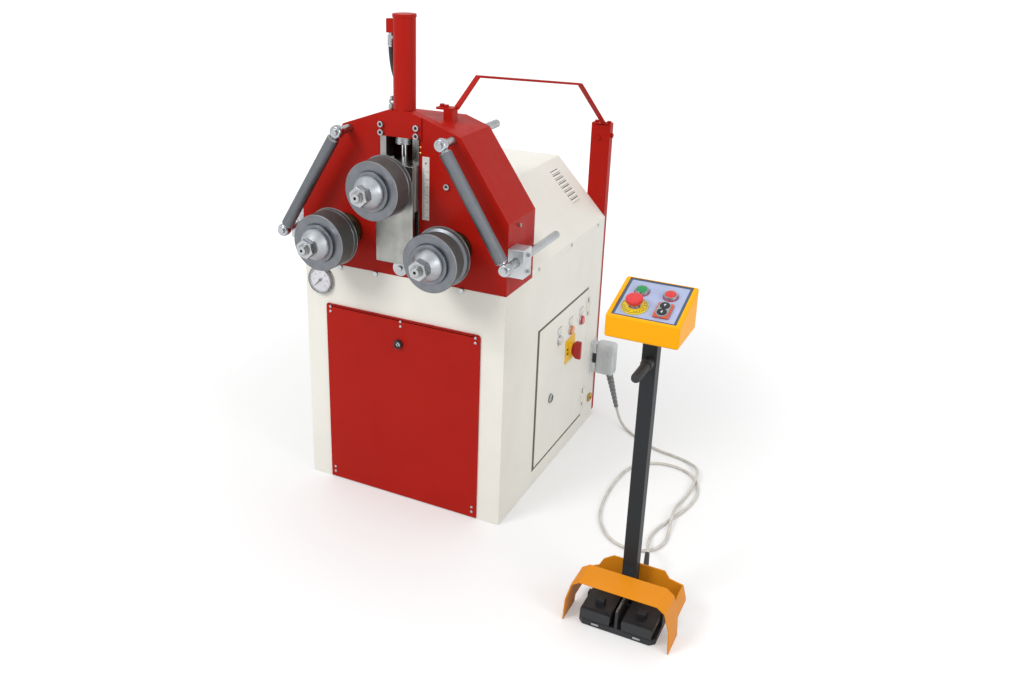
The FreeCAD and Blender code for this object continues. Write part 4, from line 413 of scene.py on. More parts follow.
@dataclass(frozen=True)
class Lens(Finish):
    """Coloured translucent plastic of a lamp, with a faint facet pattern."""

    def dress(self, recipe: Recipe) -> None:
        """Builds the node tree of the lens.

        Args:
            recipe: The material under construction.
        """
        at = recipe.place()
        recipe.shade(recipe.noise(at, 160, 2, 0.5), self.colour, 0.85, 1.1)
        recipe.feed(Roughness=self.roughness, Transmission_Weight=0.15, Coat_Weight=0.5)
        recipe.relief(recipe.rings(at, 2.2, "X"), 0.12, 0.2)


@dataclass(frozen=True)
class Crystal(Finish):
    """Clear window over a dial."""

    def dress(self, recipe: Recipe) -> None:
        """Builds the node tree of the window.

        Args:
            recipe: The material under construction.
        """
        recipe.feed(Alpha=0.12, IOR=1.3)
        haze = recipe.noise(recipe.place(), 50, 2, 0.5)
        recipe.shade(haze, self.colour, 0.97, 1)
        recipe.dull(haze, self.roughness, self.roughness, 0)


RED = Paint("enamel_red", (171, 25, 14), 0.44, gloss=0.1)
CREAM = Paint("enamel_cream", (238, 236, 227), 0.45, peel=0.09)
YELLOW = Paint("enamel_yellow", (250, 172, 8), 0.42, peel=0.07, gloss=0.1)
ORANGE = Paint("enamel_orange", (222, 138, 24), 0.45, peel=0.07, gloss=0.12)
BLACK = Paint("enamel_black", (42, 45, 48), 0.5, peel=0.06, gloss=0.16)
MOTOR = Paint("enamel_motor", (110, 116, 122), 0.45)
GREY_STEEL = Metal("steel_ground", (156, 156, 153), 0.36, Grain.GROUND, stretch=(1, 1, 0.06))
DARK_STEEL = Metal("steel_dark", (104, 104, 106), 0.42, Grain.CAST)
# Brighter ground steel; on the rolls' rear land and front chamfer it is partly a painted edge
# highlight.
LAND_STEEL = Metal("steel_land", (136, 138, 140), 0.4, Grain.GROUND)
BALL_STEEL = Metal("steel_ball", (176, 180, 185), 0.16, Grain.POLISHED)
CHROME = Metal("chrome_hard", (222, 222, 226), 0.08, Grain.POLISHED, stretch=(1, 1, 0.1))
CLAMP_ZINC = Metal(
    "zinc_clamp", (196, 199, 202), 0.42, Grain.GROUND, stretch=(1, 1, 0.1), purity=0.8
)
ZINC = Metal("zinc_bright", (178, 181, 184), 0.32)
SATIN_ZINC = Metal("zinc_satin", (172, 176, 180), 0.46)
ALLOY = Metal("alloy_grey", (214, 216, 218), 0.45, purity=0.5)
GAUGE_RIM = Metal("steel_gauge", (150, 150, 148), 0.3)
# Bronze darkened as painted shade: the bushes sit in deep shade behind the rolls.
SHADE_DARK_BRONZE = Metal("bronze_bearing", (96, 78, 56), 0.4)
BRASS = Metal("brass_fitting", (190, 158, 88), 0.34)
KNURLED = Knurl("steel_knurled", (140, 144, 150), 0.4)
RUBBER = Plastic("rubber_black", (34, 34, 36), 0.55, skin=0.3)
SEAL = Plastic("rubber_olive", (84, 82, 62), 0.6, skin=0.2)
BLACK_PLASTIC = Plastic("plastic_black", (32, 34, 37), 0.55, skin=0.25)
GREY_PLASTIC = Plastic("plastic_grey", (198, 202, 204), 0.5, skin=0.15)
GREEN_CAP = Plastic("plastic_green", (16, 140, 76), 0.26, skin=0.03)
RED_CAP = Plastic("plastic_red", (214, 46, 50), 0.3, skin=0.03)
GRIP_RED = Plastic("plastic_deep_red", (172, 32, 28), 0.36)
MAROON = Plastic("plastic_maroon", (158, 52, 66), 0.34, skin=0.04)
RED_BASE = Plastic("plastic_vermilion", (206, 84, 52), 0.34, skin=0.04)
STOP_YELLOW = Plastic("plastic_yellow", (232, 204, 30), 0.4, skin=0.04)
SWITCH_YELLOW = Plastic("plastic_switch_yellow", (236, 188, 22), 0.42)
FILM = Plastic("film_blue_grey", (164, 174, 206), 0.42, skin=0.1, grain_scale=1400)
BORDER = Plastic("film_border", (62, 84, 108), 0.42, skin=0.1)
DIAL = Plastic("dial_white", (226, 226, 234), 0.5, skin=0.03)
INK = Plastic("ink_black", (26, 26, 30), 0.5)
PALE_INK = Plastic("ink_white", (236, 236, 236), 0.5)
STRIP = Plastic("strip_pale", (222, 220, 214), 0.4)
SHEATH = Sheath("sheath_grey", (202, 198, 190), 0.38)
SLEEVE = Plastic("sleeve_grey", (118, 121, 122), 0.5, skin=0.15)
WHITE_LENS = Lens("lens_white", (222, 220, 212), 0.25)
AMBER_LENS = Lens("lens_amber", (232, 128, 34), 0.25)
RED_LENS = Lens("lens_red", (206, 40, 48), 0.25)
CRYSTAL = Crystal("window_clear", (250, 250, 250), 0.06)


# ---------------------------------------------------------------- shapes
def spun(turn: float) -> Matrix:
    """Turns a shape about its own +Z by an angle in degrees."""
    return Matrix.Rotation(math.radians(turn), 4, "Z")


def moved(x: float, y: float, z: float) -> Matrix:
    """Moves a shape in millimetres."""
    return Matrix.Translation((x, y, z))


def facing_front(at: Point, turn: float = 0) -> Matrix:
    """Places a shape so that its own +Z points to the operator."""
    return moved(*at) @ Matrix.Rotation(math.pi / 2, 4, "X") @ spun(turn)


def facing_right(at: Point, sign: int = 1) -> Matrix:
    """Places a shape so that its own +Z points along +X, or along -X where the sign is -1."""
    return moved(*at) @ Matrix.Rotation(sign * math.pi / 2, 4, "Y")


def shares(profile: Profile, wide: float, high: float) -> Profile:
    """Gives a profile, written in shares of its radius and its height, its size."""
    return [(wide * across, high * up) for across, up in profile]


def domed(radius: float, height: float) -> Profile:
    """Gives the profile of a domed screw head with a round recess."""
    head = ((0, 0.5), (0.315, 0.5), (0.35, 0.97), (0.6, 0.86), (0.86, 0.58), (1, 0.12))
    return shares((*head, (1, 0), (0, 0)), radius, height)


class Solid:
    """A mesh under construction, in millimetres, made with bmesh operators."""

    def __init__(self) -> None:
        """Starts an empty mesh."""
        self.bm = bmesh.new()

    @classmethod
    def of(cls, node: str) -> "Solid":
        """Copies a CAD node's mesh, merged, with its flat faces whole again.

        Args:
            node: Name of the CAD node.

        Returns:
            The copy in millimetres.
        """
        solid = cls()
        bm = solid.bm
        bm.from_mesh(frame["nodes"][node].data)
        bmesh.ops.scale(bm, vec=(1 / MM,) * 3, verts=bm.verts)
        for face in bm.faces:
            face.material_index = 0
        bmesh.ops.remove_doubles(bm, verts=bm.verts, dist=CAD_WELD)
        flat = math.radians(CAD_FLAT_ANGLE)
        bmesh.ops.dissolve_limit(bm, angle_limit=flat, verts=bm.verts, edges=bm.edges)
        return solid

    def block(self, low: Point, high: Point, ease: float = 0.8, segments: int = 2) -> "Solid":
        """Adds a block between two corners with eased edges.

        Args:
            low: Lowest corner.
            high: Highest corner.
            ease: Width of the rounding on every edge, 0 for none.
            segments: Steps in the rounding.

        Returns:
            This solid.
        """
        verts = bmesh.ops.create_cube(self.bm, size=1)["verts"]
        size = [b - a for a, b in zip(low, high)]
        middle = [(a + b) / 2 for a, b in zip(low, high)]
        bmesh.ops.scale(self.bm, vec=size, verts=verts)
        bmesh.ops.translate(self.bm, vec=middle, verts=verts)
        if ease > 0:
            edges = list({edge for vert in verts for edge in vert.link_edges})
            self.round_edges(edges, ease, segments)
        return self

    def round_edges(self, edges: Iterable[bmesh.types.BMEdge], width: float, segments: int) -> None:
        """Rounds edges.

        Args:
            edges: The edges.
            width: Width of the rounding.
            segments: Steps in it.
        """
        bmesh.ops.bevel(
            self.bm, geom=list(edges), offset=width, offset_type="OFFSET", affect="EDGES",
            segments=segments, profile=0.5, material=-1, clamp_overlap=False,
        )

    def ease(self, width: float, segments: int = 2, angle: float = 25) -> "Solid":
        """Rounds the sharp edges.

        Args:
            width: Width of the rounding.
            segments: Steps in it.
            angle: Angle in degrees above which an edge is sharp.

        Returns:
            This solid.
        """
        sharp = [
            edge
            for edge in self.bm.edges
            if len(edge.link_faces) == 2 and edge.calc_face_angle(0) > math.radians(angle)
        ]
        self.round_edges(sharp, width, segments)
        return self

    def turned(
        self,
        profile: Profile,
        steps: int = 72,
        at: Optional[Matrix] = None,
        closed: bool = False,
    ) -> "Solid":
        """Spins a profile of (radius, height) points about the shape's own Z axis.

        Args:
            profile: Points from one end to the other; a closed one is a ring's section.
            steps: Steps in the full turn.
            at: Where the shape goes, or nothing to leave it at the origin.
            closed: Whether the last point joins the first.

        Returns:
            This solid.
        """
        part = Solid()
        bm = part.bm
        verts = [bm.verts.new((radius, 0, height)) for radius, height in profile]
        pairs = list(zip(verts, verts[1:])) + [(verts[-1], verts[0])] * closed
        edges = [bm.edges.new(pair) for pair in pairs]
        bmesh.ops.spin(
            bm, geom=verts + edges, cent=(0, 0, 0), axis=(0, 0, 1), angle=math.tau, steps=steps,
            use_merge=True, use_duplicate=False,
        )
        bmesh.ops.remove_doubles(bm, verts=bm.verts, dist=WELD)
        bmesh.ops.recalc_face_normals(bm, faces=bm.faces)
        return self.add(part, at)

    def raised(self, face: bmesh.types.BMFace) -> tuple[list, bmesh.types.BMFace]:
        """Extrudes a face in place.

        Args:
            face: The face.

        Returns:
            The new face's corners, and the face.
        """
        made = bmesh.ops.extrude_face_region(self.bm, geom=[face])["geom"]
        corners = [item for item in made if isinstance(item, bmesh.types.BMVert)]
        return corners, next(item for item in made if isinstance(item, bmesh.types.BMFace))

    def plate(self, outline: Profile, thickness: float, at: Optional[Matrix] = None) -> "Solid":
        """Raises an outline by a thickness along +Z.

        Args:
            outline: Its (x, y) points in order.
            thickness: How far it is raised.
            at: Where the plate goes, or nothing to leave it at the origin.

        Returns:
            This solid.
        """
        part = Solid()
        bm = part.bm
        tops, _ = part.raised(bm.faces.new([bm.verts.new((x, y, 0)) for x, y in outline]))
        bmesh.ops.translate(bm, vec=(0, 0, thickness), verts=tops)
        bmesh.ops.recalc_face_normals(bm, faces=bm.faces)
        return self.add(part, at)

    def hexagon(
        self, flats: float, height: float, at: Matrix, steps: int = 48, both: bool = False
    ) -> "Solid":
        """Adds a hexagonal head or nut with its corners turned down.

        Args:
            flats: Width over the flats.
            height: Height of the head.
            at: Where it goes.
            steps: Points round the outline, a multiple of six.
            both: Whether the underside is turned down as well.

        Returns:
            This solid.
        """
        part = Solid()
        bm = part.bm
        bmesh.ops.create_circle(bm, cap_ends=True, segments=steps, radius=flats / 2)
        crown, sixth = flats / 2 * CROWN_SHARE, math.radians(60)

        def shape(verts: Iterable[bmesh.types.BMVert], level: float, lift: float) -> None:
            """Draws a ring out to the hexagon.

            Args:
                verts: Points of the ring.
                level: Height of the ring.
                lift: How far it bends up, as a share of its reach past the crown.
            """
            for vert in verts:
                angle = math.atan2(vert.co.y, vert.co.x)
                off = (angle + sixth / 2) % sixth - sixth / 2
                reach = flats / 2 / math.cos(off)
                rise = level + lift * (reach - crown) * CROWN_SLOPE
                vert.co = (reach * math.cos(angle), reach * math.sin(angle), rise)

        shape(list(bm.verts), 0.0, float(both))
        tops, top_face = part.raised(bm.faces[:][0])
        shape(tops, height, -1.0)
        for vert in part.raised(top_face)[0]:
            angle = math.atan2(vert.co.y, vert.co.x)
            vert.co = (crown * math.cos(angle), crown * math.sin(angle), height)
        bmesh.ops.delete(bm, geom=[top_face], context="FACES_ONLY")
        bmesh.ops.recalc_face_normals(bm, faces=bm.faces)
        return self.add(part, at)

    def add(self, part: "Solid", at: Optional[Matrix] = None) -> "Solid":
        """Takes another solid into this one.

        Args:
            part: The other solid, which is used up.
            at: Where it goes, or nothing to leave it where it is.

        Returns:
            This solid.
        """
        if at is not None:
            bmesh.ops.transform(part.bm, matrix=at, verts=part.bm.verts)
        carrier = bpy.data.meshes.new("carrier")
        part.bm.to_mesh(carrier)
        part.bm.free()
        self.bm.from_mesh(carrier)
        bpy.data.meshes.remove(carrier)
        return self

    def paint(self, test: Callable[[Vector, Vector], bool], index: int = 1) -> "Solid":
        """Gives some faces another of the piece's finishes.

        Args:
            test: Takes a face's middle and its normal, and says whether the face is meant.
            index: Place of the finish in the piece's list.

        Returns:
            This solid.
        """
        self.bm.normal_update()
        for face in self.bm.faces:
            if test(face.calc_center_median(), face.normal):
                face.material_index = index
        return self


def letters(text: str, size: float, at: Matrix, lift: float) -> Solid:
    """Makes raised numbers.

    Args:
        text: What they say.
        size: Height of the type body.
        at: Where the middle of the line goes, its face along +Z.
        lift: Height of the type over the face.

    Returns:
        The numbers as a solid.
    """
    data = bpy.data.curves.new("type", "FONT")
    data.body, data.size, data.extrude = text, size, lift / 2
    data.align_x = data.align_y = "CENTER"
    data.resolution_u = 2
    obj = bpy.data.objects.new("type", data)
    bpy.context.scene.collection.objects.link(obj)
    mesh = bpy.data.meshes.new_from_object(obj)
    solid = Solid()
    solid.bm.from_mesh(mesh)
    bmesh.ops.transform(solid.bm, matrix=at, verts=solid.bm.verts)
    bpy.data.objects.remove(obj)
    bpy.data.curves.remove(data)
    bpy.data.meshes.remove(mesh)
    return solid


def extent(node: str) -> tuple[Vector, Vector]:
    """Gives the lowest and the highest corner of a CAD node at rest, in millimetres."""
    low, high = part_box(node)
    return low / MM, high / MM


class Assembly:
    """A sub-assembly, which turns solids into the scene's objects and ties them to the frame."""

    count = 0

    def build(self) -> None:
        """Makes the pieces; each sub-assembly has its own."""
        raise NotImplementedError

    @staticmethod
    def settle(
        name: str, data: bpy.types.ID, slot: str, replaces: Sequence[str], body: str
    ) -> bpy.types.Object:
        """Puts a mesh or a curve into the scene and ties it to the frame.

        Args:
            name: Name of the piece.
            data: Its mesh or curve.
            slot: Material slot of the record; not used.
            replaces: CAD nodes that it stands for.
            body: CAD body that it moves with.

        Returns:
            The object, at the origin.
        """
        obj = bpy.data.objects.new(name, data)
        bpy.context.scene.collection.objects.link(obj)
        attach(obj, body)
        if replaces:
            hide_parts(*replaces)
        Assembly.count += 1
        faces = len(obj.data.polygons) if obj.type == "MESH" else 0
        LOG.info("%s: %d faces on body %s", name, faces, body)
        return obj

    def piece(
        self,
        name: str,
        solid: Solid,
        finishes: Finish | Sequence[Finish],
        slot: str,
        replaces: Sequence[str] = (),
        body: str = "root",
    ) -> bpy.types.Object:
        """Makes a piece from a solid.

        Args:
            name: Name of the piece.
            solid: Its shape in millimetres.
            finishes: One finish, or several in the order of the face indices.
            slot: Material slot of the record.
            replaces: CAD nodes that it stands for.
            body: CAD body that it moves with.

        Returns:
            The finished object.
        """
        bmesh.ops.scale(solid.bm, vec=(MM,) * 3, verts=solid.bm.verts)
        mesh = bpy.data.meshes.new(name)
        solid.bm.to_mesh(mesh)
        solid.bm.free()
        for polygon in mesh.polygons:
            polygon.use_smooth = True
        mesh.set_sharp_from_angle(angle=math.radians(SHARP_ANGLE))
        for finish in [finishes] if isinstance(finishes, Finish) else finishes:
            mesh.materials.append(finish.material())
        obj = self.settle(name, mesh, slot, replaces, body)
        obj.modifiers.new("flat_faces", "WEIGHTED_NORMAL").keep_sharp = True
        return obj

    def refit(
        self,
        node: str,
        finish: Finish,
        slot: str,
        ease: float = 0.6,
        segments: int = 2,
        angle: float = 25,
    ) -> None:
        """Stands a CAD node's own shape in for it, with eased edges and a finish.

        Args:
            node: Name of the CAD node.
            finish: Finish of the piece.
            slot: Material slot of the record.
            ease: Width of the rounding.
            segments: Steps in it.
            angle: Angle in degrees above which an edge is eased.
        """
        solid = Solid.of(node).ease(ease, segments, angle)
        body = frame["nodes"][node]["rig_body"]
        self.piece(f"{node}_shape", solid, finish, slot, [node], body)

    def tube(
        self,
        name: str,
        points: Sequence[Point],
        radius: float,
        finish: Finish,
        slot: str,
        replaces: Sequence[str],
    ) -> bpy.types.Object:
        """Makes a round tube on a smooth line through control points.

        Args:
            name: Name of the piece.
            points: Control points.
            radius: Outer radius.
            finish: Finish of the tube.
            slot: Material slot of the record.
            replaces: CAD nodes that it stands for.

        Returns:
            The curve object.
        """
        curve = bpy.data.curves.new(name, "CURVE")
        curve.dimensions = "3D"
        curve.bevel_depth = 1
        curve.bevel_resolution = 5
        curve.resolution_u = 6
        curve.use_fill_caps = True
        line = curve.splines.new("NURBS")
        line.points.add(len(points) - 1)
        for spot, point in zip(line.points, points):
            spot.co = (*(value * MM for value in point), 1)
            spot.radius = radius * MM
        line.order_u = 3
        line.use_endpoint_u = True
        curve.materials.append(finish.material())
        return self.settle(name, curve, slot, replaces, "root")


# ---------------------------------------------------------------- the studio
@dataclass
class Studio(Assembly):
    """White photographic studio with its camera; none of it belongs to the object."""

    camera_at: Point = (1262.85, -2520.96, 1598.1)
    heading: float = 27.19
    dip: float = 21.2
    roll: float = 0.85
    lens: float = 34.567
    shift: Pair = (0.0569, -0.0447)
    sensor: float = 36
    sight_end: float = 200
    floor_half: float = 60000
    floor_drop: float = 0.4
    floor_tone: float = 0.62
    horizon_to_zenith: Pair = (0.35, 1.15)
    lift: Pair = (0.25, 0.52)
    lift_reach: Pair = (0.6, 2.3)
    lamp_side: float = 1500
    lamps: tuple[tuple[str, Point, Point, float], ...] = (
        ("key_light", (-1500, -3600, 3700), (100, 0, 500), 97),
        ("side_light", (3600, -1500, 2100), (300, 0, 400), 35),
    )

    def build(self) -> None:
        """Sets up the camera, the floor, the sky and the lamps."""
        bpy.context.scene.view_settings.view_transform = "Standard"
        self.camera()
        self.floor()
        self.sky()
        for lamp in self.lamps:
            self.lamp(*lamp)

    def camera(self) -> None:
        """Places the camera by its heading, dip and roll."""
        heading, dip, roll = (math.radians(v) for v in (self.heading, self.dip, self.roll))
        right = Vector((math.cos(heading), math.sin(heading), 0))
        level = math.cos(dip)
        ahead = Vector((-math.sin(heading) * level, math.cos(heading) * level, -math.sin(dip)))
        up = right.cross(ahead)
        across = math.cos(roll) * right + math.sin(roll) * up
        upright = -math.sin(roll) * right + math.cos(roll) * up
        data = bpy.data.cameras.new("camera")
        data.sensor_width = self.sensor
        data.lens = self.lens
        data.shift_x, data.shift_y = self.shift
        data.clip_end = self.sight_end
        camera = bpy.data.objects.new("camera", data)
        turn = Matrix((across, upright, -ahead)).transposed().to_4x4()
        camera.matrix_world = Matrix.Translation(Vector(self.camera_at) * MM) @ turn
        bpy.context.scene.collection.objects.link(camera)
        bpy.context.scene.camera = camera

    def floor(self) -> None:
        """Lays a pale floor that reaches the horizon and reads white to the camera."""
        bm = bmesh.new()
        bmesh.ops.create_grid(bm, x_segments=8, y_segments=8, size=self.floor_half * MM)
        bmesh.ops.translate(bm, vec=(0, 0, -self.floor_drop * MM), verts=bm.verts)
        mesh = bpy.data.meshes.new("floor")
        bm.to_mesh(mesh)
        bm.free()
        recipe = Recipe("floor_white")
        spot = recipe.node("TexCoord").outputs["Object"]
        away = recipe.node("VectorMath", {0: spot}, operation="LENGTH").outputs["Value"]
        inputs = {"Value": away, **dict(zip(RANGE_ENDS, (*self.lift_reach, *self.lift)))}
        rise = recipe.node("MapRange", inputs, clamp=True, interpolation_type="SMOOTHSTEP")
        both = {0: rise.outputs[0], 1: recipe.backdrop_rays()}
        recipe.feed(
            Emission_Strength=recipe.node("Math", both, operation="MULTIPLY").outputs[0],
            Emission_Color=(1, 1, 1, 1),
            Base_Color=(*(self.floor_tone,) * 3, 1),
            Roughness=0.6,
        )
        mesh.materials.append(recipe.material)
        floor = bpy.data.objects.new("floor", mesh)
        bpy.context.scene.collection.objects.link(floor)

    def sky(self) -> None:
        """Gives soft light from all round, white where the camera looks past the floor."""
        world = bpy.data.worlds.new("studio")
        bpy.context.scene.world = world
        world.use_nodes = True
        graph = Graph(world.node_tree)
        low, high = self.horizon_to_zenith
        ray = graph.node("SeparateXYZ", {0: graph.node("TexCoord").outputs["Generated"]})
        inputs = {"Value": ray.outputs["Z"], "To Min": low, "To Max": high}
        rise = graph.node("MapRange", inputs).outputs[0]
        inputs = {"Value": graph.backdrop_rays(), "To Min": rise, "To Max": 1.0}
        strength = graph.node("MapRange", inputs).outputs[0]
        back = world.node_tree.nodes["Background"]
        graph.join(back, {"Color": (1, 1, 1, 1), "Strength": strength})

    def lamp(self, name: str, at: Point, target: Point, power: float) -> None:
        """Hangs a square soft lamp.

        Args:
            name: Name of the lamp.
            at: Its place.
            target: Point that it faces.
            power: Watts.
        """
        data = bpy.data.lights.new(name, "AREA")
        data.energy = power
        data.size = self.lamp_side * MM
        lamp = bpy.data.objects.new(name, data)
        turn = (Vector(target) - Vector(at)).to_track_quat("-Z", "Y").to_matrix().to_4x4()
        lamp.matrix_world = Matrix.Translation(Vector(at) * MM) @ turn
        bpy.context.scene.collection.objects.link(lamp)


# ---------------------------------------------------------------- the cord
@dataclass
class ControlCord(Assembly):
    """Grey control cord with its plug on the cabinet's right side and its gland on the pedal."""

    diameter: float = 9
    length: float = 2196
    hood_low: Point = (330.5, 325, 182)
    hood_high: Point = (392, 368, 292)
    hood_round: float = 9
    rib_pitch: float = 7
    rib_proud: float = 1.5
    rib_wide: float = 3
    sleeve_foot: Point = (374, 349, 184)
    sleeve_radius: Pair = (7, 12)
    sleeve_bore: float = 4.6
    sleeve_rings: int = 9
    route: tuple[Point, ...] = (
        (408, 349, 65), (420, 348, 28), (447, 331, 4.6), (508, 284, 4.6), (578, 242, 4.6),
        (648, 230, 4.6), (702, 212, 4.6), (737, 167, 15), (745, 104, 15), (742, 39, 4.6),
        (734, -18, 4.6), (731, -71, 15), (738, -141, 15), (746, -186, 4.6), (751, -231, 4.6),
        (740, -276, 4.6), (712, -304, 4.6), (660, -314, 4.6), (618, -298, 4.6),
        (585, -268, 4.6), (553, -214, 4.6), (537, -152, 4.6), (530, -91, 4.6),
        (528, -31, 4.6), (531, 34, 4.6), (541, 92, 4.6), (568, 136, 4.6), (612, 165, 4.6),
        (662, 170, 4.6), (702, 158, 4.6), (735, 131, 4.6), (758, 87, 4.6), (768, 36, 4.6),
        (763, -21, 4.6), (749, -79, 4.6), (729, -131, 4.6), (713, -181, 4.6),
        (706, -226, 4.6), (712, -271, 8), (722, -314, 30), (733, -351, 54), (741, -385, 60),
    )

    def build(self) -> None:
        """Makes the cord, the plug and the pieces on them."""
        cord = self.tube(
            "control_cord_line", self.route, self.diameter / 2, SHEATH, "cord_grey",
            ["control_cord"],
        )
        cord.data.resolution_u = 8
        self.piece("plug_hood", self.hood(), GREY_PLASTIC, "plug_grey", ["plug"])
        sleeve = self.piece("plug_sleeve", self.sleeve(), SLEEVE, "cord_grey")

    def hood(self) -> Solid:
        """Makes the plug's hood with grip ribs down its sides.

        Returns:
            The hood.
        """
        (x0, y0, z0), (x1, y1, z1) = self.hood_low, self.hood_high
        proud, wide = self.rib_proud, self.rib_wide
        solid = Solid().block(self.hood_low, self.hood_high, self.hood_round, 4)
        for index in range(int((x1 - x0 - 16) / self.rib_pitch)):
            x = x0 + 10 + index * self.rib_pitch
            for y in (y0, y1):
                solid.block((x, y - proud, z0 + 12), (x + wide, y + proud, z1 - 18))
        for index in range(int((z1 - z0 - 40) / self.rib_pitch)):
            z = z0 + 14 + index * self.rib_pitch
            solid.block((x1 - 0.8, y0 + 9, z), (x1 + proud, y1 - 9, z + wide))
        return solid

    def sleeve(self) -> Solid:
        """Makes the plug's tapered and ringed cord sleeve.

        Returns:
            The sleeve.
        """
        tip = Vector(self.route[0])
        axis = Vector(self.sleeve_foot) - tip
        (narrow, wide), bore = self.sleeve_radius, self.sleeve_bore
        profile = [(bore, 0)]
        step = axis.length / self.sleeve_rings
        for index in range(self.sleeve_rings):
            radius = narrow + (wide - narrow) * (index / self.sleeve_rings)
            start = step * index
            profile += [
                (radius - 2, start + 0.1), (radius, start + 0.9),
                (radius + 0.2, start + step - 4.4), (radius - 2, start + step - 3.4),
            ]
        profile += [(wide, axis.length), (bore, axis.length)]
        turn = axis.to_track_quat("Z", "Y").to_matrix().to_4x4()
        return Solid().turned(profile, 48, moved(*tip) @ turn, True)


# ---------------------------------------------------------------- the cabinet
@dataclass
class Cabinet(Assembly):
    """Cream cabinet with its red front panel, the hood over the drive and the socket."""

    panel_corner: float = 8
    lock_at: Point = (-5, -380, 490)
    lock_radius: float = 12.5
    lock_proud: float = 11
    lock_core: float = 0.64
    lock_turn: float = 35
    lock_shares: Profile = (
        (0, 0.72), (0.5, 0.72), (0.62, 0.64), (0.66, 0.6), (0.7, 1), (0.9, 0.93), (1, 0.7),
        (1, 0), (0, 0),
    )
    slant_top: Pair = (144, 887)
    slant_foot: Pair = (312, 707)
    louvre_section: Profile = (
        (-5.5, -0.2), (-4, 1.3), (-1, 2.6), (2.6, 3.2), (3.4, 3.2), (3.4, -0.2),
    )
    louvre_count: int = 8
    louvre_first: float = 42.6
    louvre_pitch: float = 15.2
    louvre_y: float = 244
    louvre_length: float = 62
    socket_foot: float = 178
    earth_at: Point = (312, 336, 85)
    earth_half: float = 12
    earth_ring: Profile = ((4.4, 0), (8, 0), (8, 3), (7.4, 3.6), (5, 3.6), (4.4, 3))

    def build(self) -> None:
        """Makes the cabinet's pieces."""
        self.refit("cabinet_shell", CREAM, "cream_paint", 1.2)
        self.refit("base_plate", BLACK, "black_paint", 0.8)
        self.front_panel()
        self.refit("hood", CREAM, "cream_paint", 1.0)
        self.refit("cover_screws", ZINC, "zinc", 0.3, angle=40)
        self.lock()
        self.louvres()
        self.socket()
        self.stud()

    def front_panel(self) -> None:
        """Makes the front panel with its upper corners rounded."""
        solid = Solid.of("front_panel")
        high = extent("front_panel")[1]
        x, z = high.x - 0.5, high.z - 0.5
        corners = [
            edge
            for edge in solid.bm.edges
            if all(abs(vert.co.x) > x and vert.co.z > z for vert in edge.verts)
        ]
        solid.round_edges(corners, self.panel_corner, 6)
        solid.ease(1.0, angle=40)
        self.piece("front_panel_shape", solid, RED, "red_paint", ["front_panel"])

    def lock(self) -> None:
        """Makes the quarter-turn lock with a plated core in a dark rim."""
        radius, proud, at = self.lock_radius, self.lock_proud, facing_front(self.lock_at)
        solid = Solid().turned(shares(self.lock_shares, radius, proud), 64, at)
        axis = Vector(self.lock_at).xz
        core = radius * self.lock_core
        solid.paint(lambda spot, normal: math.dist(spot.xz, axis) < core)
        slot = Solid().block((-1.4, -6, proud * 0.6), (1.4, 6, proud * 0.8), 0.4)
        solid.add(slot, at @ spun(self.lock_turn))
        finishes, nodes = (RUBBER, ZINC), ["panel_lock"]
        self.piece("panel_lock_face", solid, finishes, "black_plastic", nodes, "panel_latch")

    def louvres(self) -> None:
        """Makes the vent louvres on the hood's right slant, each with painted shade: black on its
        lower side and on a thin strip along its upper edge.
        """
        top = Vector((self.slant_top[0], 0, self.slant_top[1]))
        foot = Vector((self.slant_foot[0], 0, self.slant_foot[1]))
        down = (foot - top).normalized()
        out = Vector((down.z * -1, 0, down.x))
        pitch = self.louvre_pitch
        solid = Solid()
        for index in range(self.louvre_count):
            x, y, z = top + down * (self.louvre_first + index * pitch)
            y = self.louvre_y + self.louvre_length
            columns = ((down.x, out.x, 0, x), (0, 0, -1, y), (down.z, out.z, 0, z), (0, 0, 0, 1))
            louvre = Solid().plate(self.louvre_section, self.louvre_length).ease(0.9, angle=40)
            # Thin strip beside the louvre's upper edge, painted black below as the shade of its
            # opening.
            louvre.block((-7.2, -0.3, 2), (-5, 0.25, self.louvre_length - 2), 0)
            solid.add(louvre, Matrix(columns))
        # Painted shade: the faces looking down the slant and the strip at each upper edge turn
        # black.
        shade_band_start = self.louvre_first + pitch * 0.5
        solid.paint(
            lambda spot, normal: normal.dot(down) > 0.92
            or ((spot - top).dot(down) - shade_band_start) % pitch < pitch * 0.5 - 4.9
            and (spot - top).dot(out) < 0.3
        )
        self.piece("hood_louvres", solid, (CREAM, BLACK), "cream_paint")

    def socket(self) -> None:
        """Makes the socket on the right side: a flange with screws, a collar and its latches."""
        (x0, y0, _), (x1, y1, z1) = extent("plug_socket")
        z0 = self.socket_foot
        solid = Solid().block((x0, y0, z0), (x0 + 4, y1, z1), 1.4, 3)
        for z in (z0 + 8, z1 - 8):
            for y in (y0 + 5, y1 - 5):
                solid.turned(domed(2.6, 1.1), 24, facing_right((x0 + 3.9, y, z)))
        solid.block((x0 + 3, y0 + 6, z0 + 7), (x1 + 0.4, y1 - 6, z1 - 7), 2, 3)
        self.piece("socket_flange", solid, ALLOY, "plug_grey", ["plug_socket"])
        latch, z = Solid(), (z0 + z1) / 2
        for y in (y0 + 6, y1 - 6):
            latch.block((x0 + 6, y - 1, z - 17), (x1 + 5, y + 1, z + 17), 0.6)
        self.piece("socket_latch", latch, BLACK_PLASTIC, "black_plastic")

    def stud(self) -> None:
        """Makes the brass earthing block with its screw and ring."""
        (x, y, z), half = self.earth_at, self.earth_half
        solid = Solid().block((x, y - half, z - half), (x + 7, y + half, z + half), 1.6, 3)
        solid.hexagon(9, 4, facing_right((x + 7, y, z)))
        solid.turned(self.earth_ring, 48, facing_right((x, y + half + 6, z)), True)
        self.piece("earth_stud", solid, BRASS, "bronze")


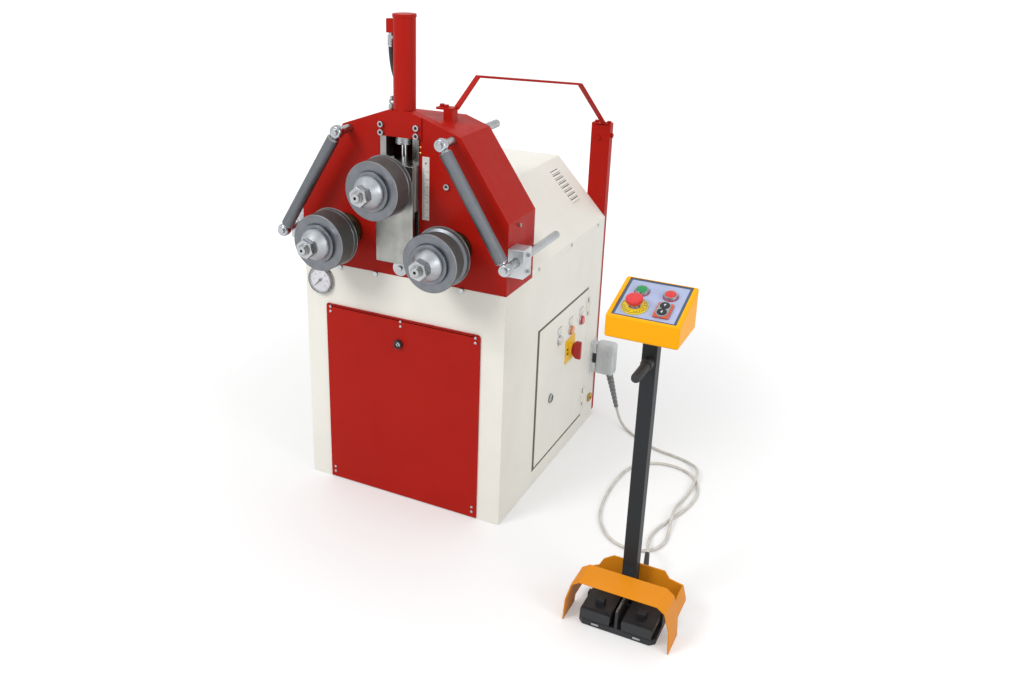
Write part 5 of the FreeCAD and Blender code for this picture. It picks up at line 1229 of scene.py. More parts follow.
# ---------------------------------------------------------------- the head
@dataclass
class Head(Assembly):
    """Red head over the cabinet, with the slide, the sliding block and the scale."""

    face_y: float = -376
    scale_x: Pair = (66, 86)
    scale_z: Pair = (857, 1024)
    tick_pitch: float = 2.5
    nipple_at: tuple[Point, ...] = ((60.5, -376, 1046), (60.5, -376, 1032))
    nipple: Profile = ((0, 5), (1.4, 5), (1.6, 4), (1.2, 3), (3.2, 2), (3.4, 0), (0, 0))
    stop_at: Point = (-31, -362, 1001)
    stop: Profile = ((0, 12), (3, 11.6), (5.4, 10), (6, 7.6), (6, 4), (4, 3.4), (4, 0), (0, 0))
    bridge_screws: Point = (52, -389, 1096)
    bridge_drop: float = 21
    face_screws: Point = (137, -382, 954)
    clamp_screws: Point = (362, -351, 802)
    clamp_drop: float = 44
    side_screws: Point = (318, -312, 864)
    red_above: float = 950
    red_behind: float = -330

    def build(self) -> None:
        """Makes the head's pieces."""
        self.refit("head_front_plate", RED, "red_paint", 0.5)
        self.refit("head_casing", RED, "red_paint", 0.5)
        self.refit("slide_rails", GREY_STEEL, "machined_steel")
        self.refit("carriage_block", GREY_STEEL, "machined_steel", 1.0)
        # The bushes' darkened bronze is painted shade.
        self.refit("shaft_bushes", SHADE_DARK_BRONZE, "bronze", 0.5)
        self.refit("drive_gear", DARK_STEEL, "machined_steel", 0.4)
        self.refit("guide_clamps", CLAMP_ZINC, "machined_steel", 1.4)
        self.bolts()
        self.socket_shade()
        self.nipples()
        screw = Solid().turned(self.stop, 40, moved(*self.stop_at))
        self.piece("slide_stop_screw", screw, ZINC, "zinc", body="carriage")
        self.refit("gear_motor", MOTOR, "motor_grey", 0.8)
        self.refit("power_pack", MOTOR, "motor_grey", 0.8)
        self.refit("electrical_plate", ZINC, "zinc")
        self.scale()

    def bolts(self) -> None:
        """Makes the head's bolts and screws, red where they hold the bow and the mast."""
        solid = Solid.of("frame_bolts").ease(0.5, angle=40)
        solid.paint(lambda spot, normal: spot.z > self.red_above and spot.y > self.red_behind)
        self.piece("bolt_heads", solid, (ZINC, RED), "zinc", ["frame_bolts"])

    def socket_shade(self) -> None:
        """Makes black hexagons at the bottom of the socket screws, painted shade for their
        recesses.
        """
        solid, spots = Solid(), []
        for side in (-1, 1):
            x, y, z = self.bridge_screws
            for drop in (0, self.bridge_drop):
                spots.append((facing_front((side * x, y, z - drop)), 8))
            x, y, z = self.face_screws
            spots.append((facing_front((side * x, y, z)), 8))
            x, y, z = self.clamp_screws
            for drop in (0, self.clamp_drop):
                spots.append((facing_right((side * x, y, z - drop), side), 5))
            x, y, z = self.side_screws
            spots.append((facing_right((side * x, y, z), side), 5))
        # Each black hexagon sits inside a screw head as the painted shade of its recess.
        for at, radius in spots:
            solid.hexagon(radius * 0.92, 0.6, at @ moved(0, 0, -radius * 0.42), 24)
        self.piece("bolt_socket_shade", solid, INK, "black_plastic")

    def nipples(self) -> None:
        """Makes the two brass grease nipples beside the right rail."""
        solid = Solid()
        for at in self.nipple_at:
            solid.turned(self.nipple, 28, facing_front(at))
        self.piece("grease_nipples", solid, BRASS, "bronze")

    def scale(self) -> None:
        """Makes the scale's plain strip, and its ticks and numbers in centimetres."""
        (left, right), (foot, top), face = self.scale_x, self.scale_z, self.face_y - 0.8
        strip = Solid().block((left, face, foot), (right, self.face_y + 0.4, top), 0.3)
        self.piece("scale_strip", strip, STRIP, "machined_steel")
        low, high = foot + 8, top - 30
        dot = facing_front(((left + right) / 2, face, top - 17))
        solid = Solid().turned(((0, 0), (2.2, 0), (2.2, 0.2), (0, 0.2)), 24, dot)
        for index in range(int((high - low) / self.tick_pitch) + 1):
            z = low + index * self.tick_pitch
            x, reach = left + 1.5, 4.5 if index % 4 else 8
            solid.block((x, face - 0.15, z - 0.3), (x + reach, face + 0.1, z + 0.3), 0)
            if index % 8 == 0:
                at = facing_front((right - 5.4, face - 0.05, z))
                solid.add(letters(str(index // 4), 7, at, 0.25))
        self.piece("scale_marks", solid, INK, "black_plastic")


class Tread(Enum):
    """Shapes of a roll's working face, as (depth, distance from the back) points."""

    PLAIN = ((0, 12.24), (1.2, 13.6), (0, 14.96))
    GROOVED = ((0, 14), (7, 17.5), (7, 52.5), (0, 56))


@dataclass
class Roll(Assembly):
    """Forming roll with its domed washer, nut and shaft."""

    side: str
    at: Pair
    tread: Tread = Tread.PLAIN
    back_y: float = -449
    radius: float = 79
    land: float = 3
    tread_radius: float = 76
    width: float = 70
    boss: float = 52
    boss_width: float = 80
    bore: float = 25.05
    chamfer: float = 1.5
    washer: float = 42.5
    washer_edge: float = 5
    washer_high: float = 27
    bulge: float = 0.8
    nut_flats: float = 45
    nut_y: float = -556
    nut_high: float = 25
    stub_radius: float = 11
    stub_proud: float = 12
    stub_hole: float = 4

    def build(self) -> None:
        """Makes the roll's pieces on its spindle."""
        self.ring()
        self.clamp()
        self.refit(f"{self.side}_shaft", GREY_STEEL, "machined_steel", 0.5)

    def front(self, y: float, turn: float = 0) -> Matrix:
        """Places a shape on the roll's own axis, its +Z to the operator."""
        return facing_front((self.at[0], y, self.at[1]), turn)

    def ring(self) -> None:
        """Makes the roll itself with eased corners, a dark tread, and brighter steel on the rear
        land and the front chamfer, a ground land that is partly a painted edge highlight.
        """
        middle, rim, chamfer, edge = self.tread_radius, self.radius, self.chamfer, self.boss
        width, end, centre = self.width, self.boss_width, (self.at[0], self.back_y, self.at[1])
        profile = [
            (self.bore, 0), (rim - chamfer, 0), (rim, chamfer), (rim, self.land - 0.6),
            (rim - 0.6, self.land), (middle, self.land),
            *((middle - deep, far) for deep, far in self.tread.value),
            (middle, width - chamfer), (middle - chamfer, width), (edge + 1.2, width),
            (edge + 0.6, width - 0.5), (edge, width + 0.6), (edge, end - 1.2),
            (edge - 1.2, end), (self.bore, end),
        ]
        solid = Solid().turned(profile, 120, self.front(self.back_y), True)
        axis = Vector(self.at)
        back, front = self.back_y - self.land - 0.1, self.back_y - width + chamfer
        solid.paint(
            lambda spot, normal: abs(normal.y) < 0.6 and (spot.xz - axis).length > edge + 4
        )
        # Rear land and front chamfer: brighter steel, partly a painted highlight along the edges.
        solid.paint(
            lambda spot, normal: (spot.xz - axis).length > middle - chamfer
            and (spot.y > back or spot.y < front),
            2,
        )
        finishes = (
            Metal(f"roll_face_{self.side}", (120, 123, 128), 0.4, Grain.TURNED, centre),
            Metal(
                f"roll_tread_{self.side}", (88, 90, 88), 0.52, Grain.GROUND, centre,
                stretch=(1, 3, 1), purity=0.5,
            ),
            LAND_STEEL,
        )
        name = f"{self.side}_roll"
        self.piece(f"{name}_ring", solid, finishes, "roll_steel", [name], f"{self.side}_spindle")

    def clamp(self) -> None:
        """Makes the domed washer, the nut and the shaft's threaded end with its centre hole, whose
        hollow is painted black as shade.
        """
        reach, rise = self.washer - self.bore, self.washer_high - self.washer_edge
        dome = [
            (self.washer - reach * step / 12, self.washer_edge + rise * (step / 12) ** self.bulge)
            for step in range(13)
        ]
        profile = [(self.bore, 0), (self.washer - 0.8, 0), (self.washer, 0.8), *dome]
        solid = Solid().turned(profile, 96, self.front(self.back_y - self.boss_width), True)
        face = self.nut_y - self.nut_high
        nut = Solid().hexagon(self.nut_flats, self.nut_high, self.front(self.nut_y, 12))
        radius, proud, hole = self.stub_radius, self.stub_proud, self.stub_hole
        end = (
            (radius, 0), (radius, proud - 1), (radius - 1, proud), (hole, proud),
            (hole * 0.9, proud - 5), (0, proud - 6),
        )
        nut.turned(end, 48, self.front(face + 0.1))
        nut.paint(lambda spot, normal: True)
        axis = Vector(self.at)
        # Painted shade: the hollow of the centre hole turns black.
        nut.paint(
            lambda spot, normal: (spot.xz - axis).length < hole and spot.y < face - 1, 2
        )
        self.piece(
            f"{self.side}_roll_clamp", solid.add(nut), (SATIN_ZINC, ZINC, INK), "zinc",
            [f"{self.side}_roll_nut"], f"{self.side}_spindle",
        )


@dataclass
class Cylinder(Assembly):
    """Hydraulic cylinder that presses the top roll down, with its hose."""

    axis: Pair = (0, -351)
    gland: float = 24
    gland_z: Pair = (1046, 1066)
    hose_radius: float = 7
    hose_line: tuple[Point, ...] = (
        (-39, -351, 1288), (-39, -347, 1239), (-31, -329, 1190), (-19, -303, 1150),
        (-15, -293, 1124),
    )
    hose_foot: Point = (-15, -293, 1108)
    crimp_rings: int = 4
    collar: Profile = ((0, 0), (6, 0), (6, 7), (0, 7))
    elbow: Point = (-43.4, -342, 1108)
    elbow_high: float = 54
    elbow_body: Profile = (
        (0, 0), (6.4, 0), (6.4, 3), (8.8, 6), (9, 14), (8.4, 19), (6, 21), (6, 25), (0, 25),
    )
    elbow_neck: Profile = ((0, 0), (5, 0), (4.4, 9), (0, 9))
    elbow_arm: Profile = ((0, 0), (6.4, 0), (6.4, 16), (0, 16))

    def build(self) -> None:
        """Makes the cylinder's pieces."""
        self.barrel()
        self.refit("piston_rod", CHROME, "hard_chrome", 0.5)
        self.tube(
            "pressure_hose", self.hose_line, self.hose_radius, RUBBER, "hose_rubber",
            ["cylinder_hose"],
        )
        self.fittings()

    def barrel(self) -> None:
        """Makes the red barrel with its bare steel gland."""
        solid = Solid.of("cylinder_barrel").ease(0.8)
        (low, high), inner = self.gland_z, self.gland - 1
        for z in (low + 3, low + 11):
            ring = ((inner, z), (inner + 2.4, z + 0.6), (inner + 2.4, z + 3.4), (inner, z + 4))
            solid.turned(ring, 64, moved(*self.axis, 0), True)
        solid.paint(lambda spot, normal: spot.z < high - 0.5)
        self.piece("barrel_shape", solid, (RED, ZINC), "red_paint", ["cylinder_barrel"])

    def fittings(self) -> None:
        """Makes the crimped ferrules, their nuts and the elbow under the hose."""
        crimp = [(0, 0), (8.2, 0)]
        for low in range(2, 2 + 4 * self.crimp_rings, 4):
            crimp += [(9, low), (9, low + 2), (8.2, low + 3)]
        crimp += [(8.4, 19), (0, 19)]
        (x, y, z), solid = self.hose_line[0], Solid()
        solid.turned(crimp, 40, moved(x, y, z - 1))
        solid.hexagon(15, 9, moved(x, y, z + 18), both=True)
        solid.turned(self.collar, 32, moved(x, y, z + 26.4))
        solid.turned(crimp, 40, moved(*self.hose_foot))
        x, y, z = self.elbow
        solid.hexagon(16, 13, moved(x, y, z), both=True)
        solid.turned(self.elbow_body, 40, moved(x, y, z + 12))
        solid.hexagon(14, 9, moved(x, y, z + 36), both=True)
        solid.turned(self.elbow_neck, 32, moved(x, y, z + self.elbow_high - 9))
        solid.turned(self.elbow_arm, 32, facing_right((x, y - 1, z + self.elbow_high * 0.7)))
        self.piece("hose_fittings", solid, ZINC, "zinc")


@dataclass
class Guide(Assembly):
    """Tilting guide arm with its knurled tube, on two rods beside the rolls."""

    side: str
    sign: int
    upper: Pair = (152, 1074)
    lower: Pair = (334, 784)
    y: float = -436
    core: float = 10
    radius: float = 16.5
    margin: float = 18
    ball: float = 18
    eye: float = 12
    ball_steps: int = 14

    def build(self) -> None:
        """Makes the arm, its tube and the rods."""
        side = self.side
        self.piece(
            f"{side}_arm_shape", self.arm(), BALL_STEEL, "machined_steel", [f"{side}_guide_arm"],
            f"{side}_swing_arm",
        )
        self.piece(
            f"{side}_tube_shape", self.knurled(), (KNURLED, GREY_STEEL), "roll_steel",
            [f"{side}_guide_roller"], f"{side}_tube",
        )
        self.refit(f"{side}_lower_rod", ZINC, "machined_steel", 0.8)

    @property
    def reach(self) -> float:
        """Distance between the arm's two eyes."""
        return math.dist(self.upper, self.lower)

    def arm_frame(self) -> Matrix:
        """Gives the arm's frame, its own +Z from the lower eye to the upper one.

        Returns:
            The frame's matrix.
        """
        low, high = (
            Vector((self.sign * x, self.y, z)) for x, z in (self.lower, self.upper)
        )
        along = (high - low).normalized()
        across = Vector((0, 1, 0))
        turn = Matrix((across.cross(along), across, along)).transposed().to_4x4()
        return moved(*low) @ turn

    def arm(self) -> Solid:
        """Makes the core with a ball at either end.

        Returns:
            The arm.
        """
        flat = math.sqrt(self.ball ** 2 - self.eye ** 2)
        profile = [(0, -self.eye)]
        for index in range(self.ball_steps + 1):
            angle = math.pi * (index / self.ball_steps - 0.5)
            wide = flat + (self.ball - flat) * math.cos(angle)
            profile.append((wide, self.eye * math.sin(angle)))
        profile.append((0, self.eye))
        solid, at, across = Solid(), self.arm_frame(), Matrix.Rotation(math.pi / 2, 4, "X")
        for height in (0, self.reach):
            solid.turned(profile, 64, at @ moved(0, 0, height) @ across)
        shank = ((0, 0), (self.core, 0), (self.core, self.reach), (0, self.reach))
        return solid.turned(shank, 48, at)

    def knurled(self) -> Solid:
        """Makes the knurled tube with plain turned rings at its ends.

        Returns:
            The tube, with its surface unrolled on its UV map.
        """
        low, high = self.margin, self.reach - self.margin
        radius, inner = self.radius, self.core + 0.6
        steps = ((3.2, 0), (1.4, 1.2), (1.4, 3), (0.8, 3.6), (0, 4.4))
        profile = [(inner, low)] + [(radius - deep, low + far) for deep, far in steps]
        profile += [(radius - deep, high - far) for deep, far in reversed(steps)]
        solid = Solid().turned([*profile, (inner, high)], 72, closed=True)
        solid.paint(lambda spot, normal: math.hypot(spot.x, spot.y) < radius - 0.5)
        layer = solid.bm.loops.layers.uv.new("UVMap")
        for face in solid.bm.faces:
            centre = face.calc_center_median()
            middle = math.atan2(centre.y, centre.x)
            for corner in face.loops:
                angle = math.atan2(corner.vert.co.y, corner.vert.co.x)
                angle += math.tau * round((middle - angle) / math.tau)
                corner[layer].uv = (angle * radius, corner.vert.co.z)
        return Solid().add(solid, self.arm_frame())


@dataclass
class Gauge(Assembly):
    """Pressure gauge let into the cabinet's front."""

    at: Point = (-258, -376, 633)
    flange: float = 42.5
    case: float = 38.5
    window: float = 36.3
    proud: float = 14
    dial_depth: float = 8
    numbers: int = 7
    steps: int = 5
    sweep: float = 270
    track: Profile = ((33.4, 0), (34.2, 0), (34.2, 0.12), (33.4, 0.12))
    needle_turn: float = 225
    needle: Profile = ((-8, -1.9), (0, -2.3), (28, -0.4), (28, 0.4), (0, 2.3), (-8, 1.9))
    hub: Profile = ((0, -0.6), (4.2, -0.6), (4.2, 1.4), (3.2, 2), (0, 2))

    def build(self) -> None:
        """Makes the gauge's pieces."""
        self.body()
        dial = self.disc(self.window - 0.1, 0.5, self.dial_depth - 0.5)
        self.piece("gauge_dial", dial, DIAL, "gauge_case")
        self.print_marks()
        glass = self.disc(self.window - 0.05, 0.8, self.proud - 2.2)
        self.piece("gauge_window", glass, CRYSTAL, "gauge_case")
        at = self.front(self.dial_depth + 1)
        pointer = Solid().plate(self.needle, 0.8, at @ spun(self.needle_turn))
        pointer.turned(self.hub, 40, at)
        self.piece("gauge_pointer", pointer, INK, "needle_black", ["gauge_needle"], "needle")

    def front(self, height: float = 0) -> Matrix:
        """Places a shape on the gauge's axis, a height off the cabinet's face."""
        return facing_front(self.at) @ moved(0, 0, height)

    def disc(self, radius: float, thick: float, height: float) -> Solid:
        """Makes a disc on the gauge's axis."""
        profile = ((0, 0), (radius, 0), (radius, thick), (0, thick))
        return Solid().turned(profile, 72, self.front(height))

    def body(self) -> None:
        """Makes the case with its flange and three screws."""
        flange, case, window, proud = self.flange, self.case, self.window, self.proud
        floor = self.dial_depth - 0.4
        profile = (
            (0, 0), (flange, 0), (flange, 2.6), (flange - 1.2, 3.8), (case + 1, 4),
            (case + 0.4, 5), (case, proud - 2), (case - 0.8, proud - 0.4), (window + 0.8, proud),
            (window, proud - 1), (window, floor), (0, floor),
        )
        solid = Solid().turned(profile, 96, self.front())
        for turn in (0, 120, 240):
            spot = self.front() @ spun(turn) @ moved(0, flange - 2.4, 3.6)
            solid.turned(domed(1.8, 1.3), 20, spot)
        self.piece("gauge_case", solid, GAUGE_RIM, "gauge_case", ["gauge_body"])

    def print_marks(self) -> None:
        """Makes the dial's ticks and plain numbers."""
        solid, at = Solid(), self.front(self.dial_depth)
        ticks = (self.numbers - 1) * self.steps
        for index in range(ticks + 1):
            turn = spun(90 + self.sweep / 2 - self.sweep * index / ticks)
            long = index % self.steps == 0
            tick = Solid().block((27 if long else 29.5, -0.35, 0), (33, 0.35, 0.12), 0)
            solid.add(tick, at @ turn)
            if long:
                spot = at @ Matrix.Translation(turn @ Vector((21.5, 0, 0)))
                solid.add(letters(str(index), 6.5, spot, 0.15))
        self.piece("gauge_print", solid.turned(self.track, 72, at, True), INK, "needle_black")


# ---------------------------------------------------------------- the side door
@dataclass
class SideDoor(Assembly):
    """Cream door in the cabinet's right side, with its lamps, main switch and lock."""

    back_x: float = 310
    face: float = 313
    y: Pair = (-133, 264)
    z: Pair = (57, 499)
    rim_x: float = 301
    rim: float = 2.5
    hinge: Pair = (317, 269)
    hinge_z: Pair = (117, 439)
    knuckle: float = 5
    knuckle_half: float = 15
    seal: float = 6.6
    seal_front: float = 13
    lamps_y: tuple[float, ...] = (24, 115, 206)
    lamps_z: float = 414
    lamp: float = 16
    lens: float = 14
    lens_proud: float = 10
    label_sizes: tuple[tuple[float, ...], ...] = ((16.5, 20.5, 41.5, 0.4), (15, 22, 40, 0.7))
    switch_y: float = 118
    switch_z: float = 350
    switch_half: float = 39
    boss: Profile = ((0, 2), (22, 2), (22, 10.4), (21.4, 11), (0, 11))
    grip_foot: Profile = ((0, 0), (15, 0), (15, 4), (14, 5), (0, 5))
    grip_reach: float = 29
    grip_half: float = 5
    grip_proud: float = 31
    arch_foot: float = 0.6
    arch_rise: float = 0.54
    arch_steps: int = 16
    lock_y: float = -25
    lock_z: float = 242
    lock_radius: float = 15
    lock_shares: Profile = (
        (0, 0.7), (0.56, 0.7), (0.62, 0.5), (0.66, 0.5), (0.72, 1), (0.92, 0.9), (1, 0.5),
        (1, 0), (0, 0),
    )

    def build(self) -> None:
        """Makes the door's pieces."""
        self.plate()
        self.gasket()
        self.lamp_row()
        self.labels()
        self.switch()
        self.handle()
        self.lock()
        self.refit("door_hinges", CREAM, "cream_paint", 0.5)

    def plate(self) -> None:
        """Makes the door's sheet, its folded rim and its hinge leaves."""
        (y0, y1), (z0, z1), x, back, rim = self.y, self.z, self.back_x, self.rim_x, self.rim
        solid = Solid().block((x, y0, z0), (self.face, y1, z1), 1.0)
        for low_y, high_y, low_z, high_z in (
            (y0, y0 + rim, z0, z1), (y1 - rim, y1, z0, z1),
            (y0, y1, z0, z0 + rim), (y0, y1, z1 - rim, z1),
        ):
            solid.block((back, low_y, low_z), (x + 0.5, high_y, high_z), 0.6)
        hinge_x, hinge_y = self.hinge
        for z in self.hinge_z:
            low, high = z - self.knuckle_half, z + self.knuckle_half
            solid.block((x, hinge_y - 20, low), (hinge_x, hinge_y - 2, high))
            barrel = ((0, low), (self.knuckle, low), (self.knuckle, high), (0, high))
            solid.turned(barrel, 40, moved(hinge_x, hinge_y, 0))
        self.piece("side_door_plate", solid, CREAM, "cream_paint", ["side_door"], "door")

    def gasket(self) -> None:
        """Makes the dark seal in the gap round the door."""
        (y0, y1), (z0, z1) = self.y, self.z
        gap, back, face = self.seal, self.rim_x, self.face - 0.1
        front = (face - 1.5, y0 - self.seal_front, z0 - gap)
        solid = Solid().block(front, (face, y0 - 0.2, z1 + gap), 0.3)
        solid.block((back, y0 - gap, z1 + 0.2), (face, y1 - 4, z1 + gap), 0.3)
        solid.block((back, y0 - gap, z0 - gap), (face, y1 - 4, z0 - 0.4), 0.6)
        self.piece("door_seal", solid, SEAL, "black_plastic")

    def lamp_row(self) -> None:
        """Makes the lamps' thin bezels and their coloured lenses."""
        radius, lens, proud, solid = self.lamp, self.lens, self.lens_proud, Solid()
        bezel = (
            (0, 0), (radius, 0), (radius, 2.8), (radius - 0.8, 3.9), (radius - 1.4, 4),
            (lens + 0.3, 3.2), (0, 3.2),
        )
        glass = (
            (0, 1.8), (lens, 1.8), (lens, proud - 3), (lens - 0.8, proud - 1.2),
            (lens - 2.6, proud), (0, proud),
        )
        spots = [facing_right((self.face, y, self.lamps_z)) for y in self.lamps_y]
        for at in spots:
            solid.turned(bezel, 56, at)
        self.piece("lamp_bezels", solid, ZINC, "machined_steel", body="door")
        for name, at, finish in zip(
            ("left", "middle", "right"), spots, (WHITE_LENS, AMBER_LENS, RED_LENS)
        ):
            cap = Solid().turned(glass, 56, at)
            self.piece(f"lamp_lens_{name}", cap, finish, "red_cap", body="door")

    def labels(self) -> None:
        """Makes the bare plates over the lamps, each on a steel edge."""
        solid, face, lamp = Solid(), self.face, self.lamps_z
        for half, low, high, proud in self.label_sizes:
            for y in self.lamps_y:
                corner = (face + proud, y + half, lamp + high)
                solid.block((face - 0.2, y - half, lamp + low), corner, 0.1, 1)
        solid.paint(lambda spot, normal: spot.x < face + 0.45)
        self.piece("lamp_plates", solid, (STRIP, LAND_STEEL), "machined_steel", body="door")

    def switch(self) -> None:
        """Makes the main switch's yellow plate with its boss and its two plain marks."""
        face, half, y, z = self.face, self.switch_half, self.switch_y, self.switch_z
        low, high = (face - 0.2, y - half, z - half), (face + 3, y + half, z + half)
        solid = Solid().block(low, high, 1.2).turned(self.boss, 64, facing_right((face, y, z)))
        self.piece("switch_plate", solid, SWITCH_YELLOW, "yellow_paint", body="door")
        marks, face, y = Solid(), face + 3, y - 25
        for foot in (z + 3, z - 11):
            marks.block((face - 0.1, y - 7, foot), (face + 0.2, y + 5, foot + 7), 0)
        self.piece("switch_marks", marks, INK, "black_plastic", body="door")

    def handle(self) -> None:
        """Makes the red grip: a round foot with a tall arched fin across it."""
        reach, half, y, z = self.grip_reach, self.grip_half, self.switch_y, self.switch_z
        low, high = extent("switch_handle")
        solid = Solid().turned(self.grip_foot, 64, facing_right((low.x, y, z)))
        rise = min(self.grip_proud, (high - low).x) - 0.2
        arch = []
        for step in range(self.arch_steps + 1):
            turn = math.pi * step / self.arch_steps
            level = self.arch_foot - self.arch_rise * math.sin(turn)
            arch.append((reach * math.cos(turn), rise * level))
        ends = ((-reach, rise - 2), (2 - reach, rise))
        fin = Solid().plate(((reach - 2, rise), (reach, rise - 2), *arch, *ends), half * 2)
        across = Matrix(((0, 1, 0, low.x), (0, 0, 1, y - half), (1, 0, 0, z), (0, 0, 0, 1)))
        solid.add(fin.ease(1.2, 3, 40), across)
        self.piece("switch_grip", solid, GRIP_RED, "red_cap", ["switch_handle"], "main_switch")

    def lock(self) -> None:
        """Makes the door's round lock: a dark rim about a plated core with its key slot."""
        radius, depth = self.lock_radius, extent("door_lock")[1].x - self.face
        solid = Solid().turned(shares(self.lock_shares, radius, depth), 56)

        def plated(spot: Vector, normal: Vector) -> bool:
            """Tells the plated faces from the dark groove and the rim's outside."""
            share = math.hypot(spot.x, spot.y) / radius
            return not (0.57 < share < 0.7 or share > 0.97)

        solid.paint(plated)
        solid.block((-1.3, -5.5, depth * 0.4), (1.3, 5.5, depth * 0.74), 0.4)
        solid = Solid().add(solid, facing_right((self.face, self.lock_y, self.lock_z)))
        self.piece("door_lock_face", solid, (RUBBER, ZINC), "zinc", ["door_lock"], "door_latch")


# ---------------------------------------------------------------- the console and the pedal
@dataclass
class Console(Assembly):
    """Yellow console on its post, with the buttons that drive the machine."""

    low: Point = (661.5, -641, 755)
    high: Point = (824.5, -501, 851)
    front_top: float = 807
    slope: float = 17.447
    round: float = 5
    u: Pair = (10.5, 152.5)
    v: Pair = (4.4, 142.4)
    face: float = -2
    depth: float = 5
    play: float = 0.3
    border: float = 8.5
    green: Pair = (49.5, 98)
    red: Pair = (113.5, 98)
    cap: Profile = (
        (0, 5.8), (12, 5.8), (12, 8.6), (11.2, 9.4), (10, 9.8), (6, 10.1), (0, 10.2),
    )
    seat: Profile = ((0, 0), (17, 0), (17, 1.6), (16.2, 2.4), (0, 2.4))
    bezel: Profile = ((12.3, 2), (15.4, 2), (14.8, 7.2), (14, 8.8), (12.3, 8.4))
    keys: Pair = (113.5, 45)
    key_step: float = 11.5
    key_rim: float = 13.6
    key_rim_steps: int = 24
    key_plate: Point = (17, 25, 6)
    key: Profile = ((0, 4.6), (10.9, 4.6), (10.9, 8.6), (10.4, 9.5), (9.4, 10), (0, 9.7))
    arrow: Profile = (
        (-0.6, -4), (0.6, -4), (0.6, 0.8), (2.6, 0.8), (0, 4.4), (-2.6, 0.8), (-0.6, 0.8),
    )
    arrow_level: float = 9.78
    stop: Pair = (50.5, 44)
    disc: Profile = ((0, 0), (29, 0), (29, 3.2), (28, 4), (0, 4))
    ring: Profile = ((26.2, 4), (27.4, 4), (27.4, 4.15), (26.2, 4.15))
    neck: Profile = (
        (0, 3.6), (13.6, 3.6), (13.2, 4.5), (12.4, 4.8), (10, 4.8), (10, 8.5), (9.6, 8.9),
        (0, 8.9),
    )
    mushroom: Profile = (
        (0, 13.2), (10.9, 13.2), (10.9, 9.2), (13, 9.8), (14.5, 12.6), (16.4, 13.6),
        (18.2, 16.4), (18.8, 19.4), (18.8, 22.4), (17.8, 24.6), (15.4, 25.7), (10, 26), (0, 26),
    )
    post_at: Pair = (743, -541)
    post_side: float = 34.5
    post_foot: float = 8
    grip_z: float = 677
    grip_y: Pair = (-656, -558)
    grip_collar: Profile = ((0, 0), (14, 0), (14, 18), (12.6, 20), (9, 20.6))
    grip_ribs: int = 9
    grip_pitch: float = 7.4

    def build(self) -> None:
        """Makes the console's pieces."""
        self.case()
        self.film()
        self.seats()
        self.bezels()
        u, v, _ = self.key_plate
        seat = Solid().block((-u, -v, -0.1), self.key_plate, 2.2, 3)
        seat = Solid().add(seat, self.on_face(self.keys))
        self.piece("key_seat", seat, RED_BASE, "collar_mix")
        self.stop_print()
        for name, spot, finish, body in (
            ("green", self.green, GREEN_CAP, "start_key"), ("red", self.red, RED_CAP, "stop_key"),
        ):
            cap = Solid().turned(self.cap, 64, self.on_face(spot))
            self.piece(f"{name}_cap", cap, finish, f"{name}_cap", [f"{name}_button"], body)
        self.direction_key("up", "raise_key", 1)
        self.direction_key("down", "lower_key", -1)
        stop = Solid().turned(self.mushroom, 80, self.on_face(self.stop))
        nodes, body = ["estop_button"], "emergency_stop"
        self.piece("stop_mushroom", stop, RED_CAP, "red_cap", nodes, body)
        (x, y), half = self.post_at, self.post_side / 2
        foot, top = (x - half, y - half, self.post_foot), (x + half, y + half, self.low[2])
        self.piece("post_tube", Solid().block(foot, top, 2.4, 3), BLACK, "black_paint", ["post"])
        self.grip()

    def on_slope(self, u: float = 0, v: float = 0, w: float = 0) -> Matrix:
        """Gives the sloping face's frame moved along the face and out of it."""
        tilt = Matrix.Rotation(math.radians(self.slope), 4, "X")
        return moved(self.low[0], self.low[1], self.front_top) @ tilt @ moved(u, v, w)

    def on_face(self, spot: Pair, lift: float = 0) -> Matrix:
        """Gives the frame of a spot on the panel, lifted off it."""
        return self.on_slope(*spot, self.face + lift)

    def slope_side(self, solid: Solid) -> tuple[bmesh.types.BMFace, Vector]:
        """Finds a solid's largest face along the slope.

        Args:
            solid: The solid.

        Returns:
            The face, and the direction out of the slope.
        """
        out = (self.on_slope().to_3x3() @ Vector((0, 0, 1))).normalized()
        solid.bm.normal_update()
        faces = solid.bm.faces
        top = max(faces, key=lambda face: (face.normal.dot(out) > 0.999, face.calc_area()))
        return top, out

    def case(self) -> None:
        """Makes the console's case with the recess for its panel."""
        (x0, y0, z0), (x1, y1, z1) = self.low, self.high
        outline = ((y0, z0), (y1, z0), (y1, z1), (y0, self.front_top))
        across = Matrix(((0, 0, 1, x0), (1, 0, 0, 0), (0, 1, 0, 0), (0, 0, 0, 1)))
        solid = Solid().plate(outline, x1 - x0, across).ease(self.round, 4, 10)
        top, out = self.slope_side(solid)
        bmesh.ops.inset_individual(solid.bm, faces=[top], thickness=1.0, depth=0)
        slope = self.on_slope()
        back = slope.inverted()
        for vert in top.verts:
            spot = back @ vert.co
            u, v = (
                low - self.play if value < (low + high) / 2 else high + self.play
                for value, (low, high) in ((spot.x, self.u), (spot.y, self.v))
            )
            vert.co = slope @ Vector((u, v, 0))
        floor = bmesh.ops.extrude_discrete_faces(solid.bm, faces=[top])["faces"][0]
        drop = out * (self.face - self.depth + 1)
        bmesh.ops.translate(solid.bm, vec=drop, verts=floor.verts)
        self.piece("console_case", solid, YELLOW, "yellow_paint", ["console_box"])

    def film(self) -> None:
        """Makes the panel with its dark border."""
        (u0, u1), (v0, v1), face = self.u, self.v, self.face
        solid = Solid().block((u0, v0, face - 3), (u1, v1, face), 0.4)
        bmesh.ops.transform(solid.bm, matrix=self.on_slope(), verts=solid.bm.verts)
        top, _ = self.slope_side(solid)
        rims = bmesh.ops.inset_individual(solid.bm, faces=[top], thickness=self.border, depth=0)
        for rim in rims["faces"]:
            rim.material_index = 1
        top.material_index = 0
        self.piece("console_film", solid, (FILM, BORDER), "panel_film", ["console_panel"])

